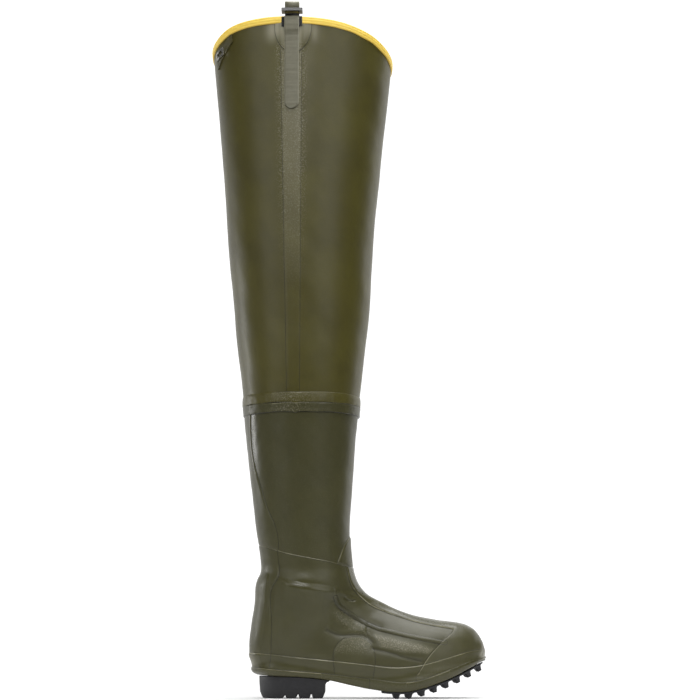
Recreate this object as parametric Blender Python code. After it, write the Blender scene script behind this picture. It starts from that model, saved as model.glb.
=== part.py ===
"""Hip wader, right boot: a rubber boot foot and lower leg with a thigh-high rubberised shaft on it.

The toe points along +X, the outer side of the leg is at -Y and up is +Z. The origin is the middle of the
heel's flat underside, on the floor. Sizes in the tables are millimetres.
"""

import math
from collections import namedtuple

import bmesh
import bpy
import numpy as np

# Driving dimensions, in millimetres
MM = 0.001
FOOT_WALL = 2.6
SHAFT_WALL = 2.0
GAP = 0.3
COLUMNS = 28
BAND_FOOT = 358.5
LOWER_BAND_WIDTH, UPPER_BAND_WIDTH = 12.5, 12.7
LOWER_BAND_THICKNESS, UPPER_BAND_THICKNESS = 1.7, 1.3
KNEE_HEIGHT = BAND_FOOT + LOWER_BAND_WIDTH / 2
BAND_SPLIT = BAND_FOOT + LOWER_BAND_WIDTH + GAP
BAND_TOP = BAND_SPLIT + UPPER_BAND_WIDTH
INSOLE_THICKNESS = 3.0
FOXING_THICKNESS, CAP_THICKNESS, STAY_THICKNESS = 1.8, 1.5, 1.3
SHEET_THICKNESS, HEEL_STRIP_THICKNESS = 1.1, 0.8
RIB_THICKNESS, RIB_WIDTH = 1.4, 4.6
MIDLINE_CLEARANCE = 6.0
TRIM_THICKNESS = 1.4
TRIM_HEIGHT = 9.5
STRAP_WIDTH = 18.7
STRAP_MIDDLE = -2.3
STRAP_THICKNESS = 1.6
STRAP_LENGTH = 122.6
LOOP_RISE = 21.2
LOOP_GAP, LOOP_ROOM = 6.0, 6.3
SLIDER_HEIGHT, SLIDER_SIDE, SLIDER_FRONT = 3.8, 4.0, 2.2
WEB_LENGTH = 38.0
TAPE_THICKNESS, TAPE_MIDDLE = 0.8, 0.8
TAPE_WIDTH_KNEE, TAPE_WIDTH_TOP = 15.7, 26.5
PATCH_THICKNESS, PATCH_RADIUS, PATCH_DEPTH = 0.9, 24.0, 37.0
GUARD_THICKNESS, GUARD_WIDTH, GUARD_HEIGHT = 1.2, 26.6, 13.1
CINCH_WIDTH, CINCH_DROP, CINCH_SLANT = 16.0, 3.5, 18.5
CINCH_FROM, CINCH_TO = 139.0, 160.0
BUCKLE_FROM, BUCKLE_TO, BUCKLE_DROP = 148.5, 158.5, 15.5
BUCKLE_WIDTH, BUCKLE_THICKNESS, BUCKLE_BAR, BUCKLE_SIDE = 10.0, 2.0, 2.2, 1.4
LUG_HEIGHT, LUG_BASE, LUG_TIP = 6.3, 9.6, 5.6
LUG_PITCH, LUG_ROWS, LUG_SIDES = 15.6, 8, 5
LUG_FIRST, LUG_ROOT = 131.0, 1.2
HEEL_NOTCHES = (-9.6, 7.2, 24.2)
NOTCH_HALF_WIDTH, NOTCH_HEIGHT = 2.6, 6.2

# Limits of what is cut by outlines seen from the side: back, front and bottom, and to either side
VIEW_BACK, VIEW_FRONT, VIEW_FOOT = -75.0, 262.0, -20.0
VIEW_SIDE = 90.0

Section = namedtuple(
    "Section",
    "front_x front_z back_x back_z middle_y outer inner widest front_power back_power",
)

# The outer surface of foot and leg, one row per section from the toe to above the collar. Each section is
# a closed curve whose plane turns from upright at the toe to level in the leg. Its chord runs from a front
# point to a back point, outer and inner are its half widths, widest is where along the chord, from the
# back, it is widest, and the powers shape its front and back halves (2 is an ellipse, more is squarer).
SECTIONS = tuple(
    Section(*row)
    for row in (
        (243.2, 59.0, 242.4, 48.5, 8.0, 8.5, 8.5, 0.50, 2.0, 2.0),
        (240.0, 71.0, 238.0, 43.0, 7.5, 17.5, 17.5, 0.50, 2.0, 2.0),
        (232.5, 82.6, 229.0, 37.0, 6.0, 26.0, 26.0, 0.45, 2.0, 2.2),
        (222.8, 89.6, 215.8, 29.8, 5.0, 34.5, 35.0, 0.42, 2.0, 2.4),
        (210.2, 93.4, 199.4, 22.5, 4.0, 42.0, 43.0, 0.40, 2.0, 2.6),
        (197.6, 95.3, 176.6, 15.2, 3.0, 48.0, 49.5, 0.38, 1.95, 2.7),
        (183.7, 96.9, 146.7, 10.2, 1.5, 52.0, 52.5, 0.38, 1.9, 2.7),
        (168.2, 99.3, 111.1, 11.4, -1.0, 50.5, 48.0, 0.38, 1.85, 2.7),
        (152.9, 102.7, 73.0, 17.0, -2.0, 46.0, 42.5, 0.38, 1.8, 2.7),
        (138.8, 107.5, 34.9, 22.5, -1.5, 41.5, 40.0, 0.40, 1.8, 2.6),
        (126.0, 112.6, -3.3, 26.5, -1.0, 40.0, 39.5, 0.42, 1.8, 2.5),
        (114.3, 118.5, -35.6, 29.0, -0.5, 40.0, 40.0, 0.44, 1.8, 2.4),
        (104.0, 123.7, -49.8, 40.5, 0.0, 41.5, 41.5, 0.45, 1.85, 2.3),
        (95.0, 129.0, -53.0, 62.9, 0.0, 44.0, 44.0, 0.46, 1.9, 2.2),
        (88.0, 135.6, -50.5, 91.9, 0.0, 46.5, 46.5, 0.47, 1.9, 2.1),
        (82.5, 143.5, -46.6, 120.8, 0.0, 48.5, 48.5, 0.48, 2.0, 2.0),
        (79.0, 151.5, -45.4, 141.5, 0.0, 49.0, 49.0, 0.49, 2.0, 2.0),
        (76.0, 163.0, -40.2, 158.0, 0.0, 46.0, 46.0, 0.50, 2.0, 2.0),
        (74.0, 183.3, -40.6, 175.5, 0.0, 46.5, 46.5, 0.50, 2.0, 2.0),
        (72.6, 212.7, -46.6, 212.7, 0.0, 49.0, 49.0, 0.50, 2.0, 2.0),
        (76.2, 264.3, -52.8, 264.3, 0.0, 53.5, 53.5, 0.50, 2.0, 2.0),
        (79.5, 316.2, -58.6, 316.2, 0.0, 58.0, 58.0, 0.50, 2.0, 2.0),
        (87.0, 394.6, -67.2, 394.6, 0.0, 66.0, 66.0, 0.50, 2.0, 2.0),
        (98.6, 500.5, -79.1, 500.5, 0.0, 74.0, 74.0, 0.50, 2.0, 2.0),
        (105.3, 607.9, -88.7, 607.9, 0.0, 79.0, 79.0, 0.50, 2.0, 2.0),
        (116.2, 716.7, -97.2, 716.7, 0.0, 82.5, 82.5, 0.50, 2.0, 2.0),
        (125.3, 799.3, -105.0, 799.3, 0.0, 84.0, 84.0, 0.50, 2.0, 2.0),
        (130.5, 850.0, -110.0, 850.0, 0.0, 85.0, 85.0, 0.50, 2.0, 2.0),
        (134.0, 890.0, -114.0, 890.0, 0.0, 85.5, 85.5, 0.50, 2.0, 2.0),
    )
)
TOE_TIP = (244.0, 8.0, 54.0)

# Lines seen from the side, as (x, z)
FOXING_TOP = (
    (-60.0, 57.2), (-52.0, 56.9), (9.0, 51.0), (52.0, 46.6), (95.0, 41.9), (127.0, 38.6),
    (160.0, 41.0), (181.0, 46.3), (203.0, 52.7), (224.0, 58.6), (250.0, 61.5),
)  # fmt: skip
RAND_TOP = (
    (-60.0, 39.6), (-49.0, 39.1), (-14.0, 35.7), (35.0, 32.0), (98.0, 25.1), (144.0, 20.8),
    (160.0, 22.9), (181.0, 30.0), (200.0, 36.8), (224.0, 45.5), (250.0, 53.5),
)  # fmt: skip
SOLE_UNDER = (
    (-60.0, 28.8), (-39.0, 28.3), (43.0, 22.9), (97.0, 11.6), (127.0, 8.2), (147.0, 8.8),
    (160.0, 11.3), (181.0, 17.6), (203.0, 26.1), (224.0, 36.3), (240.0, 44.6), (250.0, 50.0),
)  # fmt: skip
ANKLE_SEAM = ((-70.0, 197.0), (-41.0, 192.3), (-6.5, 181.0), (20.0, 175.6), (52.0, 169.6), (68.0, 165.6))
ANKLE_STEP = ((-70.0, 162.0), (-40.0, 159.0), (0.0, 144.0), (30.0, 139.5), (61.0, 136.0), (80.0, 134.5))
COUNTER_EDGE = (
    (-18.6, 200.0), (-18.6, 181.0), (-18.4, 149.0), (-24.0, 141.0), (-25.9, 93.0), (-26.6, 50.0),
)  # fmt: skip
HEEL_STRIP_EDGE = ((-29.5, 152.0), (-32.6, 115.0), (-35.9, 85.0), (-38.5, 62.0))
STAY_EDGE = (
    (67.3, 165.0), (75.5, 139.6), (84.4, 128.0), (98.0, 116.6), (121.0, 106.4), (152.5, 95.8),
    (174.0, 90.7), (202.5, 86.0),
)  # fmt: skip
CAP_EDGE = ((207.9, 110.0), (206.9, 94.0), (203.9, 85.9), (185.8, 67.5), (170.3, 50.5), (162.0, 38.0))
VAMP_RIB = (
    (54.6, 125.6), (58.3, 117.2), (72.9, 106.0), (92.7, 93.6), (110.4, 86.4), (131.0, 81.0), (182.0, 70.4),
)  # fmt: skip
SIDE_PATCH = (
    (54.2, 40.0), (54.2, 62.0), (63.0, 72.9), (77.0, 76.0), (93.0, 72.9), (101.8, 62.0), (102.7, 36.0),
)  # fmt: skip
GUSSET_EDGE = ((75.5, 208.0), (67.9, 196.0), (63.0, 186.0), (60.0, 177.6), (56.7, 168.0))
BACK_STRIP_EDGE = (
    (-53.8, 358.5), (-53.7, 337.0), (-52.1, 314.0), (-47.5, 291.0), (-40.6, 266.0), (-30.5, 235.0),
    (-22.3, 216.0), (-18.1, 198.0), (-18.0, 178.0),
)  # fmt: skip

# The sole's outline, as (x, outer edge y, inner edge y)
SOLE_OUTLINE = (
    (-54.5, 0.0, 0.0), (-52.5, -11.5, 11.5), (-47.0, -22.0, 22.0), (-38.0, -31.0, 30.5),
    (-25.0, -37.0, 36.5), (0.0, -39.8, 38.5), (25.0, -39.8, 36.8), (50.0, -40.3, 35.0),
    (75.0, -43.0, 35.5), (100.0, -47.5, 39.0), (125.0, -52.5, 46.5), (150.0, -55.0, 53.5),
    (172.0, -52.5, 56.0), (192.0, -46.5, 53.5), (211.0, -37.5, 47.5), (226.0, -27.5, 39.0),
    (237.0, -16.0, 29.5), (244.0, -3.5, 18.0), (246.3, 7.5, 7.5),
)  # fmt: skip
HEEL_BACK, HEEL_BREAST = -42.0, 41.5
HEEL_INSET, HEEL_HALF_WIDTH, HEEL_ROUND_FROM = 4.5, 34.5, 4.0
PLATE_BACK = 113.0
PLATE_INSET = 4.0
PLATE_THICKNESS = 2.2

# Height of the collar's rim, as (degrees round from the front over the outer side, z)
COLLAR_RIM = (
    (0.0, 832.6), (22.0, 844.0), (45.0, 858.5), (68.0, 868.5), (90.0, 872.3), (115.0, 873.0),
    (140.0, 868.0), (160.0, 857.5), (180.0, 848.0), (215.0, 836.0), (270.0, 829.0), (320.0, 828.0),
    (360.0, 832.6),
)  # fmt: skip

OLIVE = (0.066, 0.062, 0.026)
STRAP_OLIVE = (0.135, 0.130, 0.095)
YELLOW = (0.730, 0.460, 0.050)
BLACK = (0.022, 0.022, 0.027)
LINING = (0.300, 0.270, 0.190)
SILVER = (0.700, 0.700, 0.690)


def clear_scene():
    for obj in list(bpy.data.objects):
        bpy.data.objects.remove(obj, do_unlink=True)


def principled(name, colour, roughness, metallic=0.0):
    material = bpy.data.materials.new(name)
    material.use_nodes = True
    shader = material.node_tree.nodes["Principled BSDF"]
    shader.inputs["Base Color"].default_value = (*colour, 1.0)
    shader.inputs["Roughness"].default_value = roughness
    shader.inputs["Metallic"].default_value = metallic
    return material


def smooth(at, knots, values):
    """A cubic through the knots whose slope at each is that of the parabola through its neighbours."""
    at = np.asarray(at, float)
    knots = np.asarray(knots, float)
    values = np.asarray(values, float)
    steps = np.diff(knots)
    tail = (1,) * (values.ndim - 1)
    chord = np.diff(values, axis=0) / steps.reshape(-1, *tail)
    slope = np.empty_like(values)
    before, after = steps[:-1].reshape(-1, *tail), steps[1:].reshape(-1, *tail)
    slope[1:-1] = (chord[1:] * before + chord[:-1] * after) / (before + after)
    slope[0], slope[-1] = chord[0], chord[-1]
    place = np.clip(np.searchsorted(knots, at, side="right") - 1, 0, len(steps) - 1)
    share = (at - knots[place]) / steps[place]
    share = share.reshape(share.shape + tail)
    step = steps[place].reshape(share.shape)
    rise = values[place + 1] - values[place]
    start = slope[place] * step
    end = slope[place + 1] * step
    return values[place] + share * (
        start + share * (3 * rise - 2 * start - end + share * (start + end - 2 * rise))
    )


def line_height(line, x):
    """Height at x of a line seen from the side."""
    rows = np.array(line)
    return smooth(x, rows[:, 0], rows[:, 1])


def section_places():
    """How far up the leg each section lies, along the middle of the chords."""
    rows = np.array(SECTIONS)
    middles = (rows[:, 0:2] + rows[:, 2:4]) / 2
    return np.concatenate([[0.0], np.cumsum(np.linalg.norm(np.diff(middles, axis=0), axis=1))])


PLACES = section_places()


def bare_point(place, angle):
    """Point of the outer surface at this place up the leg and this angle round from the front."""
    row = smooth(place, PLACES, np.array(SECTIONS))
    front, back = row[..., 0:2], row[..., 2:4]
    middle, outer, inner, widest, front_power, back_power = np.moveaxis(row[..., 4:], -1, 0)
    cosine, sine = np.cos(angle), np.sin(angle)
    power = np.where(cosine > 0, front_power, back_power)
    reach = np.where(cosine > 0, 1 - widest, widest)
    along = widest + np.sign(cosine) * reach * np.abs(cosine) ** (2 / power)
    width = np.where(sine > 0, outer, inner)
    y = middle - np.sign(sine) * width * np.abs(sine) ** (2 / power)
    chord = back + (front - back) * along[..., None]
    return np.stack([chord[..., 0], y, chord[..., 1]], axis=-1)


def leg_point(place, angle, offset=0.0):
    """Point at this distance outside the outer surface."""
    place, angle, offset = np.broadcast_arrays(
        np.asarray(place, float), np.asarray(angle, float), np.asarray(offset, float)
    )
    step, turn = 0.6, 0.02
    low, high = np.maximum(place - step, 0), np.minimum(place + step, PLACES[-1])
    up = bare_point(high, angle) - bare_point(low, angle)
    round_ = bare_point(place, angle + turn) - bare_point(place, angle - turn)
    normal = np.cross(round_, up)
    normal /= np.linalg.norm(normal, axis=-1, keepdims=True)
    return bare_point(place, angle) - normal * offset[..., None]


def place_at(height):
    """Place up the leg of the level section at this height."""
    rows = np.array(SECTIONS)
    fine = np.linspace(PLACES[18], PLACES[-1], 400)
    heights = smooth(fine, PLACES, rows[:, [1, 3]]).mean(axis=1)
    return np.interp(height, heights, fine)


def angle_at(x, height):
    """Angle of the point of the outer side that has this x, in a level section."""
    front, _, back, _ = np.moveaxis(smooth(place_at(height), PLACES, np.array(SECTIONS))[..., :4], -1, 0)
    return np.arccos((np.asarray(x) - (front + back) / 2) / ((front - back) / 2))


def column_angles():
    return np.arange(COLUMNS) * 2 * math.pi / COLUMNS


def angles_between(first, last):
    """The two ends and the leg's own columns between them, so that a strip follows the leg's facets."""
    turn = 2 * math.pi / COLUMNS
    margin = 0.15 * turn
    inside = [k * turn for k in range(-COLUMNS, 2 * COLUMNS) if first + margin < k * turn < last - margin]
    return np.array([first, *inside, last])


def foot_places():
    """The rings of the foot and the lower leg: one for each section and one at the knee."""
    knee = float(place_at(KNEE_HEIGHT))
    return np.array([p for p in PLACES if p < knee - 8] + [knee])


def mesh_object(name, material, points, faces):
    """One closed mesh object, its faces turned outwards. Points are in millimetres."""
    mesh = bpy.data.meshes.new(name)
    corners = [tuple(float(v) * MM for v in point) for point in points]
    mesh.from_pydata(corners, [], [tuple(map(int, face)) for face in faces])
    work = bmesh.new()
    work.from_mesh(mesh)
    bmesh.ops.recalc_face_normals(work, faces=work.faces[:])
    work.to_mesh(mesh)
    work.free()
    obj = bpy.data.objects.new(name, mesh)
    bpy.context.scene.collection.objects.link(obj)
    if material:
        mesh.materials.append(material)
    return obj


def grid_faces(start, rings, columns, wrap):
    """Two triangles for each cell of a grid of points, all split the same way."""
    faces = []
    for r in range(rings - 1):
        for c in range(columns if wrap else columns - 1):
            a = start + r * columns + c
            b = start + r * columns + (c + 1) % columns
            faces += [(a, b, b + columns), (a, b + columns, a + columns)]
    return faces


def rim_faces(outer, inner):
    """Triangles that join two rows of point numbers."""
    faces = []
    for k in range(len(outer) - 1):
        faces += [(outer[k], outer[k + 1], inner[k + 1]), (outer[k], inner[k + 1], inner[k])]
    return faces


def shell(name, material, outer, inner, wrap):
    """A wall between two grids of points, joined along every open edge."""
    rings, columns = outer.shape[:2]
    count = rings * columns
    faces = grid_faces(0, rings, columns, wrap) + grid_faces(count, rings, columns, wrap)
    for ring in (0, rings - 1):
        edge = [ring * columns + c for c in range(columns)]
        if wrap:
            edge.append(edge[0])
        faces += rim_faces(edge, [e + count for e in edge])
    if not wrap:
        for column in (0, columns - 1):
            edge = [r * columns + column for r in range(rings)]
            faces += rim_faces(edge, [e + count for e in edge])
    points = np.concatenate([outer.reshape(-1, 3), inner.reshape(-1, 3)])
    return mesh_object(name, material, points, faces)


def leg_grid(places, offset):
    return leg_point(np.asarray(places)[:, None], column_angles()[None, :], offset)


def toe_point(offset):
    return np.array([TOE_TIP[0] + offset, TOE_TIP[1], TOE_TIP[2]])


def toe_fan(start, tip):
    return [(start + c, start + (c + 1) % COLUMNS, tip) for c in range(COLUMNS)]


FORMS = {}


def leg_form(offset):
    """A closed solid of foot and lower leg at this distance outside the outer surface, kept as a cutter."""
    key = round(offset, 3)
    if key not in FORMS:
        places = foot_places()
        grid = leg_grid(places, offset)
        last = (len(places) - 1) * COLUMNS
        points = np.concatenate([grid.reshape(-1, 3), [toe_point(offset)]])
        faces = grid_faces(0, len(places), COLUMNS, True) + toe_fan(0, len(points) - 1)
        faces.append(tuple(range(last, last + COLUMNS)))
        FORMS[key] = as_cutter(mesh_object(f"form_{key}", None, points, faces))
    return FORMS[key]


def as_cutter(obj):
    obj.hide_render = True
    obj.display_type = "WIRE"
    return obj


def boolean(obj, cutter, operation):
    modifier = obj.modifiers.new(cutter.name, "BOOLEAN")
    modifier.operation = operation
    modifier.solver = "EXACT"
    modifier.object = cutter


def prism(name, material, near, far):
    """A solid between two outlines of as many points."""
    count = len(near)
    faces = [tuple(range(count)), tuple(range(2 * count - 1, count - 1, -1))]
    faces += [(k, (k + 1) % count, count + (k + 1) % count, count + k) for k in range(count)]
    return mesh_object(name, material, [*near, *far], faces)


def side_prism(name, material, outline, y_from, y_to):
    """An outline seen from the side, extruded across the leg."""
    return prism(name, material, [(x, y_from, z) for x, z in outline], [(x, y_to, z) for x, z in outline])


OUTER_SIDE, INNER_SIDE = (-VIEW_SIDE, -MIDLINE_CLEARANCE), (MIDLINE_CLEARANCE, VIEW_SIDE)


def overlay(name, material, outline, thickness, under=0.0, sides=(-VIEW_SIDE, VIEW_SIDE)):
    """A layer of this thickness on the foot or leg, within an outline seen from the side."""
    obj = side_prism(name, material, outline, *sides)
    boolean(obj, leg_form(under + GAP + thickness), "INTERSECT")
    boolean(obj, leg_form(under + GAP), "DIFFERENCE")
    return obj


def curve_through(rows, count):
    """Points of a smooth curve through rows of (x, z), even along its length."""
    rows = np.array(rows, float)
    length = np.concatenate([[0.0], np.cumsum(np.linalg.norm(np.diff(rows, axis=0), axis=1))])
    return [tuple(p) for p in smooth(np.linspace(0, length[-1], count), length, rows)]


def along_line(line, x_from, x_to, lift, count=10):
    """Points of a side line from one x to another, lifted by a clearance."""
    return [(x, float(line_height(line, x)) + lift) for x in np.linspace(x_from, x_to, count)]


def shifted(rows, dx, dz=0.0):
    return [(x + dx, z + dz) for x, z in rows]


def above(line, rows, lift):
    """The rows that lie above a side line, ended on it."""
    kept = [(x, z) for x, z in rows if z > float(line_height(line, x)) + lift + 1.0]
    x = kept[-1][0] + (kept[-1][0] - kept[-2][0]) * 0.2
    return kept + [(x, float(line_height(line, x)) + lift)]


def make_upper(material):
    """Foot and lower leg: one rubber wall, open at the knee and, under the rand, over the midsole."""
    places = foot_places()
    outer, inner = leg_grid(places, 0.0), leg_grid(places, -FOOT_WALL)
    count = len(places) * COLUMNS
    points = np.concatenate(
        [outer.reshape(-1, 3), inner.reshape(-1, 3), [toe_point(0.0)], [toe_point(-FOOT_WALL)]]
    )
    faces = grid_faces(0, len(places), COLUMNS, True) + grid_faces(count, len(places), COLUMNS, True)
    faces += toe_fan(0, 2 * count) + toe_fan(count, 2 * count + 1)
    edge = [count - COLUMNS + c for c in range(COLUMNS)] + [count - COLUMNS]
    faces += rim_faces(edge, [e + count for e in edge])
    upper = mesh_object("upper", material, points, faces)
    below = along_line(RAND_TOP, VIEW_BACK, VIEW_FRONT, GAP, 36)
    below += [(VIEW_FRONT, VIEW_FOOT), (VIEW_BACK, VIEW_FOOT)]
    under_foot = side_prism("under_foot", None, below, -VIEW_SIDE, VIEW_SIDE)
    boolean(upper, as_cutter(under_foot), "DIFFERENCE")
    return upper


def make_thigh_shaft(material):
    """The rubberised fabric shaft from the knee to the collar, open at both ends."""
    angles = column_angles()
    foot = place_at(KNEE_HEIGHT + GAP)
    rim = place_at(rim_height(angles) - TRIM_THICKNESS - GAP)
    shares = np.linspace(0.0, 1.0, 7)
    places = foot + (rim - foot)[None, :] * shares[:, None]
    outer = leg_point(places, angles[None, :], 0.0)
    inner = leg_point(places, angles[None, :], -SHAFT_WALL)
    return shell("thigh_shaft", material, outer, inner, wrap=True)


def rim_height(angle):
    """Height of the collar's rim round the leg, the same after a full turn."""
    rows = np.array(COLLAR_RIM)
    before, after = rows[-3:-1] - (360, 0), rows[1:3] + (360, 0)
    rows = np.concatenate([before, rows, after])
    return smooth(np.degrees(np.asarray(angle)) % 360, rows[:, 0], rows[:, 1])


def make_collar_trim(material):
    """The binding folded over the collar's edge: down its outside, over the rim and down its inside."""
    angles = column_angles()
    top = rim_height(angles)
    out, into = GAP, -SHAFT_WALL - GAP
    profile = (
        (out, TRIM_HEIGHT), (out + TRIM_THICKNESS, TRIM_HEIGHT), (out + TRIM_THICKNESS, 0.0),
        (into - TRIM_THICKNESS, 0.0), (into - TRIM_THICKNESS, TRIM_HEIGHT), (into, TRIM_HEIGHT),
        (into, TRIM_THICKNESS), (out, TRIM_THICKNESS),
    )  # fmt: skip
    loops = [leg_point(place_at(top - drop), angles, offset) for offset, drop in profile]
    points = np.concatenate(loops)
    faces = grid_faces(0, len(profile), COLUMNS, True)
    last = (len(profile) - 1) * COLUMNS
    ends = [last + c for c in range(COLUMNS)] + [last]
    faces += rim_faces(ends, list(range(COLUMNS)) + [0])
    return mesh_object("collar_trim", material, points, faces)


def make_knee_bands(material):
    """Two strips wrapped round the joint of shaft and lower leg, one above the other."""
    angles = column_angles()
    for name, low, high, thickness in (
        ("knee_band_lower", BAND_FOOT, BAND_SPLIT - GAP, LOWER_BAND_THICKNESS),
        ("knee_band_upper", BAND_SPLIT, BAND_TOP, UPPER_BAND_THICKNESS),
    ):
        places = place_at(np.array([low, high]))[:, None] + 0 * angles
        outer = leg_point(places, angles[None, :], GAP + thickness)
        inner = leg_point(places, angles[None, :], GAP)
        shell(name, material, outer, inner, wrap=True)


def side_strip(name, material, heights, x_from, x_to, under, thickness):
    """A strip up the outer side of the shaft. Its edges and the layer under it may change with height."""
    heights, lows, highs, layer = np.broadcast_arrays(heights, x_from, x_to, under)
    rows_outer, rows_inner = [], []
    for height, low, high, base in zip(heights, lows, highs, layer):
        columns = np.linspace(angle_at(high, height), angle_at(low, height), 5)
        place = place_at(height)
        rows_outer.append(leg_point(place, columns, base + GAP + thickness))
        rows_inner.append(leg_point(place, columns, base + GAP))
    return shell(name, material, np.array(rows_outer), np.array(rows_inner), wrap=False)


def collar_height():
    """Height of the collar's rim over the outer side, where the strap crosses it."""
    return float(rim_height(math.pi / 2))


def patch_foot():
    return collar_height() - TRIM_HEIGHT - GAP - 1.0 - PATCH_DEPTH


def make_side_seam_tape(material):
    """The tape over the shaft's side seam, from the knee band to the collar patch, wider upwards."""
    foot, top = BAND_TOP + GAP, patch_foot() - GAP
    heights = np.linspace(foot, top, 12)
    half = np.interp(heights, (foot, top), (TAPE_WIDTH_KNEE / 2, TAPE_WIDTH_TOP / 2))
    middle = np.interp(heights, (foot, top), (TAPE_MIDDLE, TAPE_MIDDLE - 4.0))
    return side_strip("side_seam_tape", material, heights, middle - half, middle + half, 0.0, TAPE_THICKNESS)


def make_strap_patch(material):
    """The half-round patch under the strap, just below the collar trim."""
    shares = np.sin(np.linspace(0.13, 1.0, 7) * math.pi / 2)
    heights = patch_foot() + PATCH_DEPTH * (1 - np.sqrt(np.maximum(0.0, 1 - shares**2)))
    half = PATCH_RADIUS * shares
    middle = STRAP_MIDDLE + 1.4
    return side_strip("strap_patch", material, heights, middle - half, middle + half, 0.0, PATCH_THICKNESS)


def make_strap(material):
    """The long strap that lies down the outer side over tape, patch and guard, its lower end round."""
    half = STRAP_WIDTH / 2
    top = collar_height() - GAP
    foot = top - STRAP_LENGTH
    turns = np.linspace(0.25, 1, 5) * math.pi / 2
    flat = [top - 82.0, patch_foot(), top - GUARD_HEIGHT - 13.0, top - GUARD_HEIGHT - 2.0, top]
    heights = np.concatenate([foot + half * (1 - np.cos(turns)), flat])
    widths = np.concatenate([half * np.sin(turns), [half] * len(flat)])
    on_tape = GAP + TAPE_THICKNESS
    on_guard = GAP + TRIM_THICKNESS + GAP + GUARD_THICKNESS
    under = np.interp(heights, flat[2:4], (on_tape, on_guard))
    low, high = STRAP_MIDDLE - widths, STRAP_MIDDLE + widths
    return side_strip("strap", material, heights, low, high, under, STRAP_THICKNESS)


def make_strap_guard(material):
    """The black keeper between the strap and the trim."""
    top = collar_height() - 2 * GAP
    heights = np.linspace(top - GUARD_HEIGHT, top, 3)
    half = GUARD_WIDTH / 2
    on_trim = GAP + TRIM_THICKNESS
    low, high = STRAP_MIDDLE - half, STRAP_MIDDLE + half
    return side_strip("strap_guard", material, heights, low, high, on_trim, GUARD_THICKNESS)


def box_points(low, high):
    return [(x, y, z) for x in (low[0], high[0]) for y in (low[1], high[1]) for z in (low[2], high[2])]


BOX_FACES = ((0, 1, 3, 2), (4, 6, 7, 5), (0, 4, 5, 1), (2, 3, 7, 6), (0, 2, 6, 4), (1, 5, 7, 3))


def box(name, material, low, high):
    return mesh_object(name, material, box_points(low, high), BOX_FACES)


def make_belt_loop(web, rubber, plastic):
    """The belt loop over the strap: a web from inside the collar, a fold over it and a slider round both."""
    half = STRAP_WIDTH / 2
    left, right = STRAP_MIDDLE - half, STRAP_MIDDLE + half
    rim = collar_height()
    top = rim + LOOP_RISE
    outer_radius, inner_radius = LOOP_GAP / 2 + STRAP_THICKNESS, LOOP_GAP / 2
    meet = top - outer_radius - LOOP_ROOM - SLIDER_HEIGHT
    lining = np.array([meet - WEB_LENGTH, rim - 4.0])
    edges = angle_at([left, right], rim)
    wall = leg_point(place_at(lining)[:, None], edges, -SHAFT_WALL - GAP - TRIM_THICKNESS - 3 * GAP)
    back = float(wall[..., 1].max())
    box("loop_web", web, (left, back, meet - WEB_LENGTH), (right, back + STRAP_THICKNESS, meet))
    centre_y, centre_z = back - inner_radius, top - outer_radius
    turns = np.linspace(0, math.pi, 11)
    profile = [(back + STRAP_THICKNESS, meet + GAP)]
    bend = np.column_stack([np.cos(turns), np.sin(turns)])
    profile += [tuple(p) for p in bend * outer_radius + (centre_y, centre_z)]
    profile += [(centre_y - outer_radius, meet + GAP), (centre_y - inner_radius, meet + GAP)]
    profile += [tuple(p) for p in bend[::-1] * inner_radius + (centre_y, centre_z)]
    profile += [(back, meet + GAP)]
    prism("belt_loop", rubber, [(left, y, z) for y, z in profile], [(right, y, z) for y, z in profile])
    low, high = (left - GAP, centre_y - outer_radius - GAP), (right + GAP, back + STRAP_THICKNESS + GAP)
    foot = meet + GAP + 0.1
    near = (low[0] - SLIDER_SIDE, low[1] - SLIDER_FRONT, foot)
    far = (high[0] + SLIDER_SIDE, high[1] + SLIDER_FRONT, foot + SLIDER_HEIGHT)
    slider = box("slider", plastic, near, far)
    hole = box("slider_hole", None, (*low, foot - 2), (*high, foot + SLIDER_HEIGHT + 2))
    boolean(slider, as_cutter(hole), "DIFFERENCE")


def make_rear_cinch(strap, metal):
    """The short cinch strap, slanting down and back from under the trim, and its buckle."""
    first, last = math.radians(CINCH_FROM), math.radians(CINCH_TO)
    angles = angles_between(first, last)
    trim_foot = rim_height(angles) - TRIM_HEIGHT
    middle = trim_foot - CINCH_DROP - CINCH_SLANT * (angles - first) / (last - first)
    heights = np.stack([middle - CINCH_WIDTH / 2, np.minimum(middle + CINCH_WIDTH / 2, trim_foot - 3 * GAP)])
    outer = leg_point(place_at(heights), angles[None, :], GAP + STRAP_THICKNESS)
    inner = leg_point(place_at(heights), angles[None, :], GAP)
    shell("rear_strap", strap, outer, inner, wrap=False)
    on_strap = GAP + STRAP_THICKNESS + GAP

    def frame(name, material, side, bar, reach):
        """A curved plate over the strap, its edges drawn in by side degrees and by bar."""
        angles = angles_between(math.radians(BUCKLE_FROM + side), math.radians(BUCKLE_TO - side))
        middle = rim_height(angles) - TRIM_HEIGHT - BUCKLE_DROP
        heights = middle[None, :] + np.array([-1, 1])[:, None] * (BUCKLE_WIDTH / 2 - bar)
        outer = leg_point(place_at(heights), angles[None, :], on_strap + BUCKLE_THICKNESS + reach)
        inner = leg_point(place_at(heights), angles[None, :], on_strap - reach)
        return shell(name, material, outer, inner, wrap=False)

    buckle = frame("rear_buckle", metal, 0.0, 0.0, 0.0)
    boolean(buckle, as_cutter(frame("buckle_window", None, BUCKLE_SIDE, BUCKLE_BAR, 2.0)), "DIFFERENCE")


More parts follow.
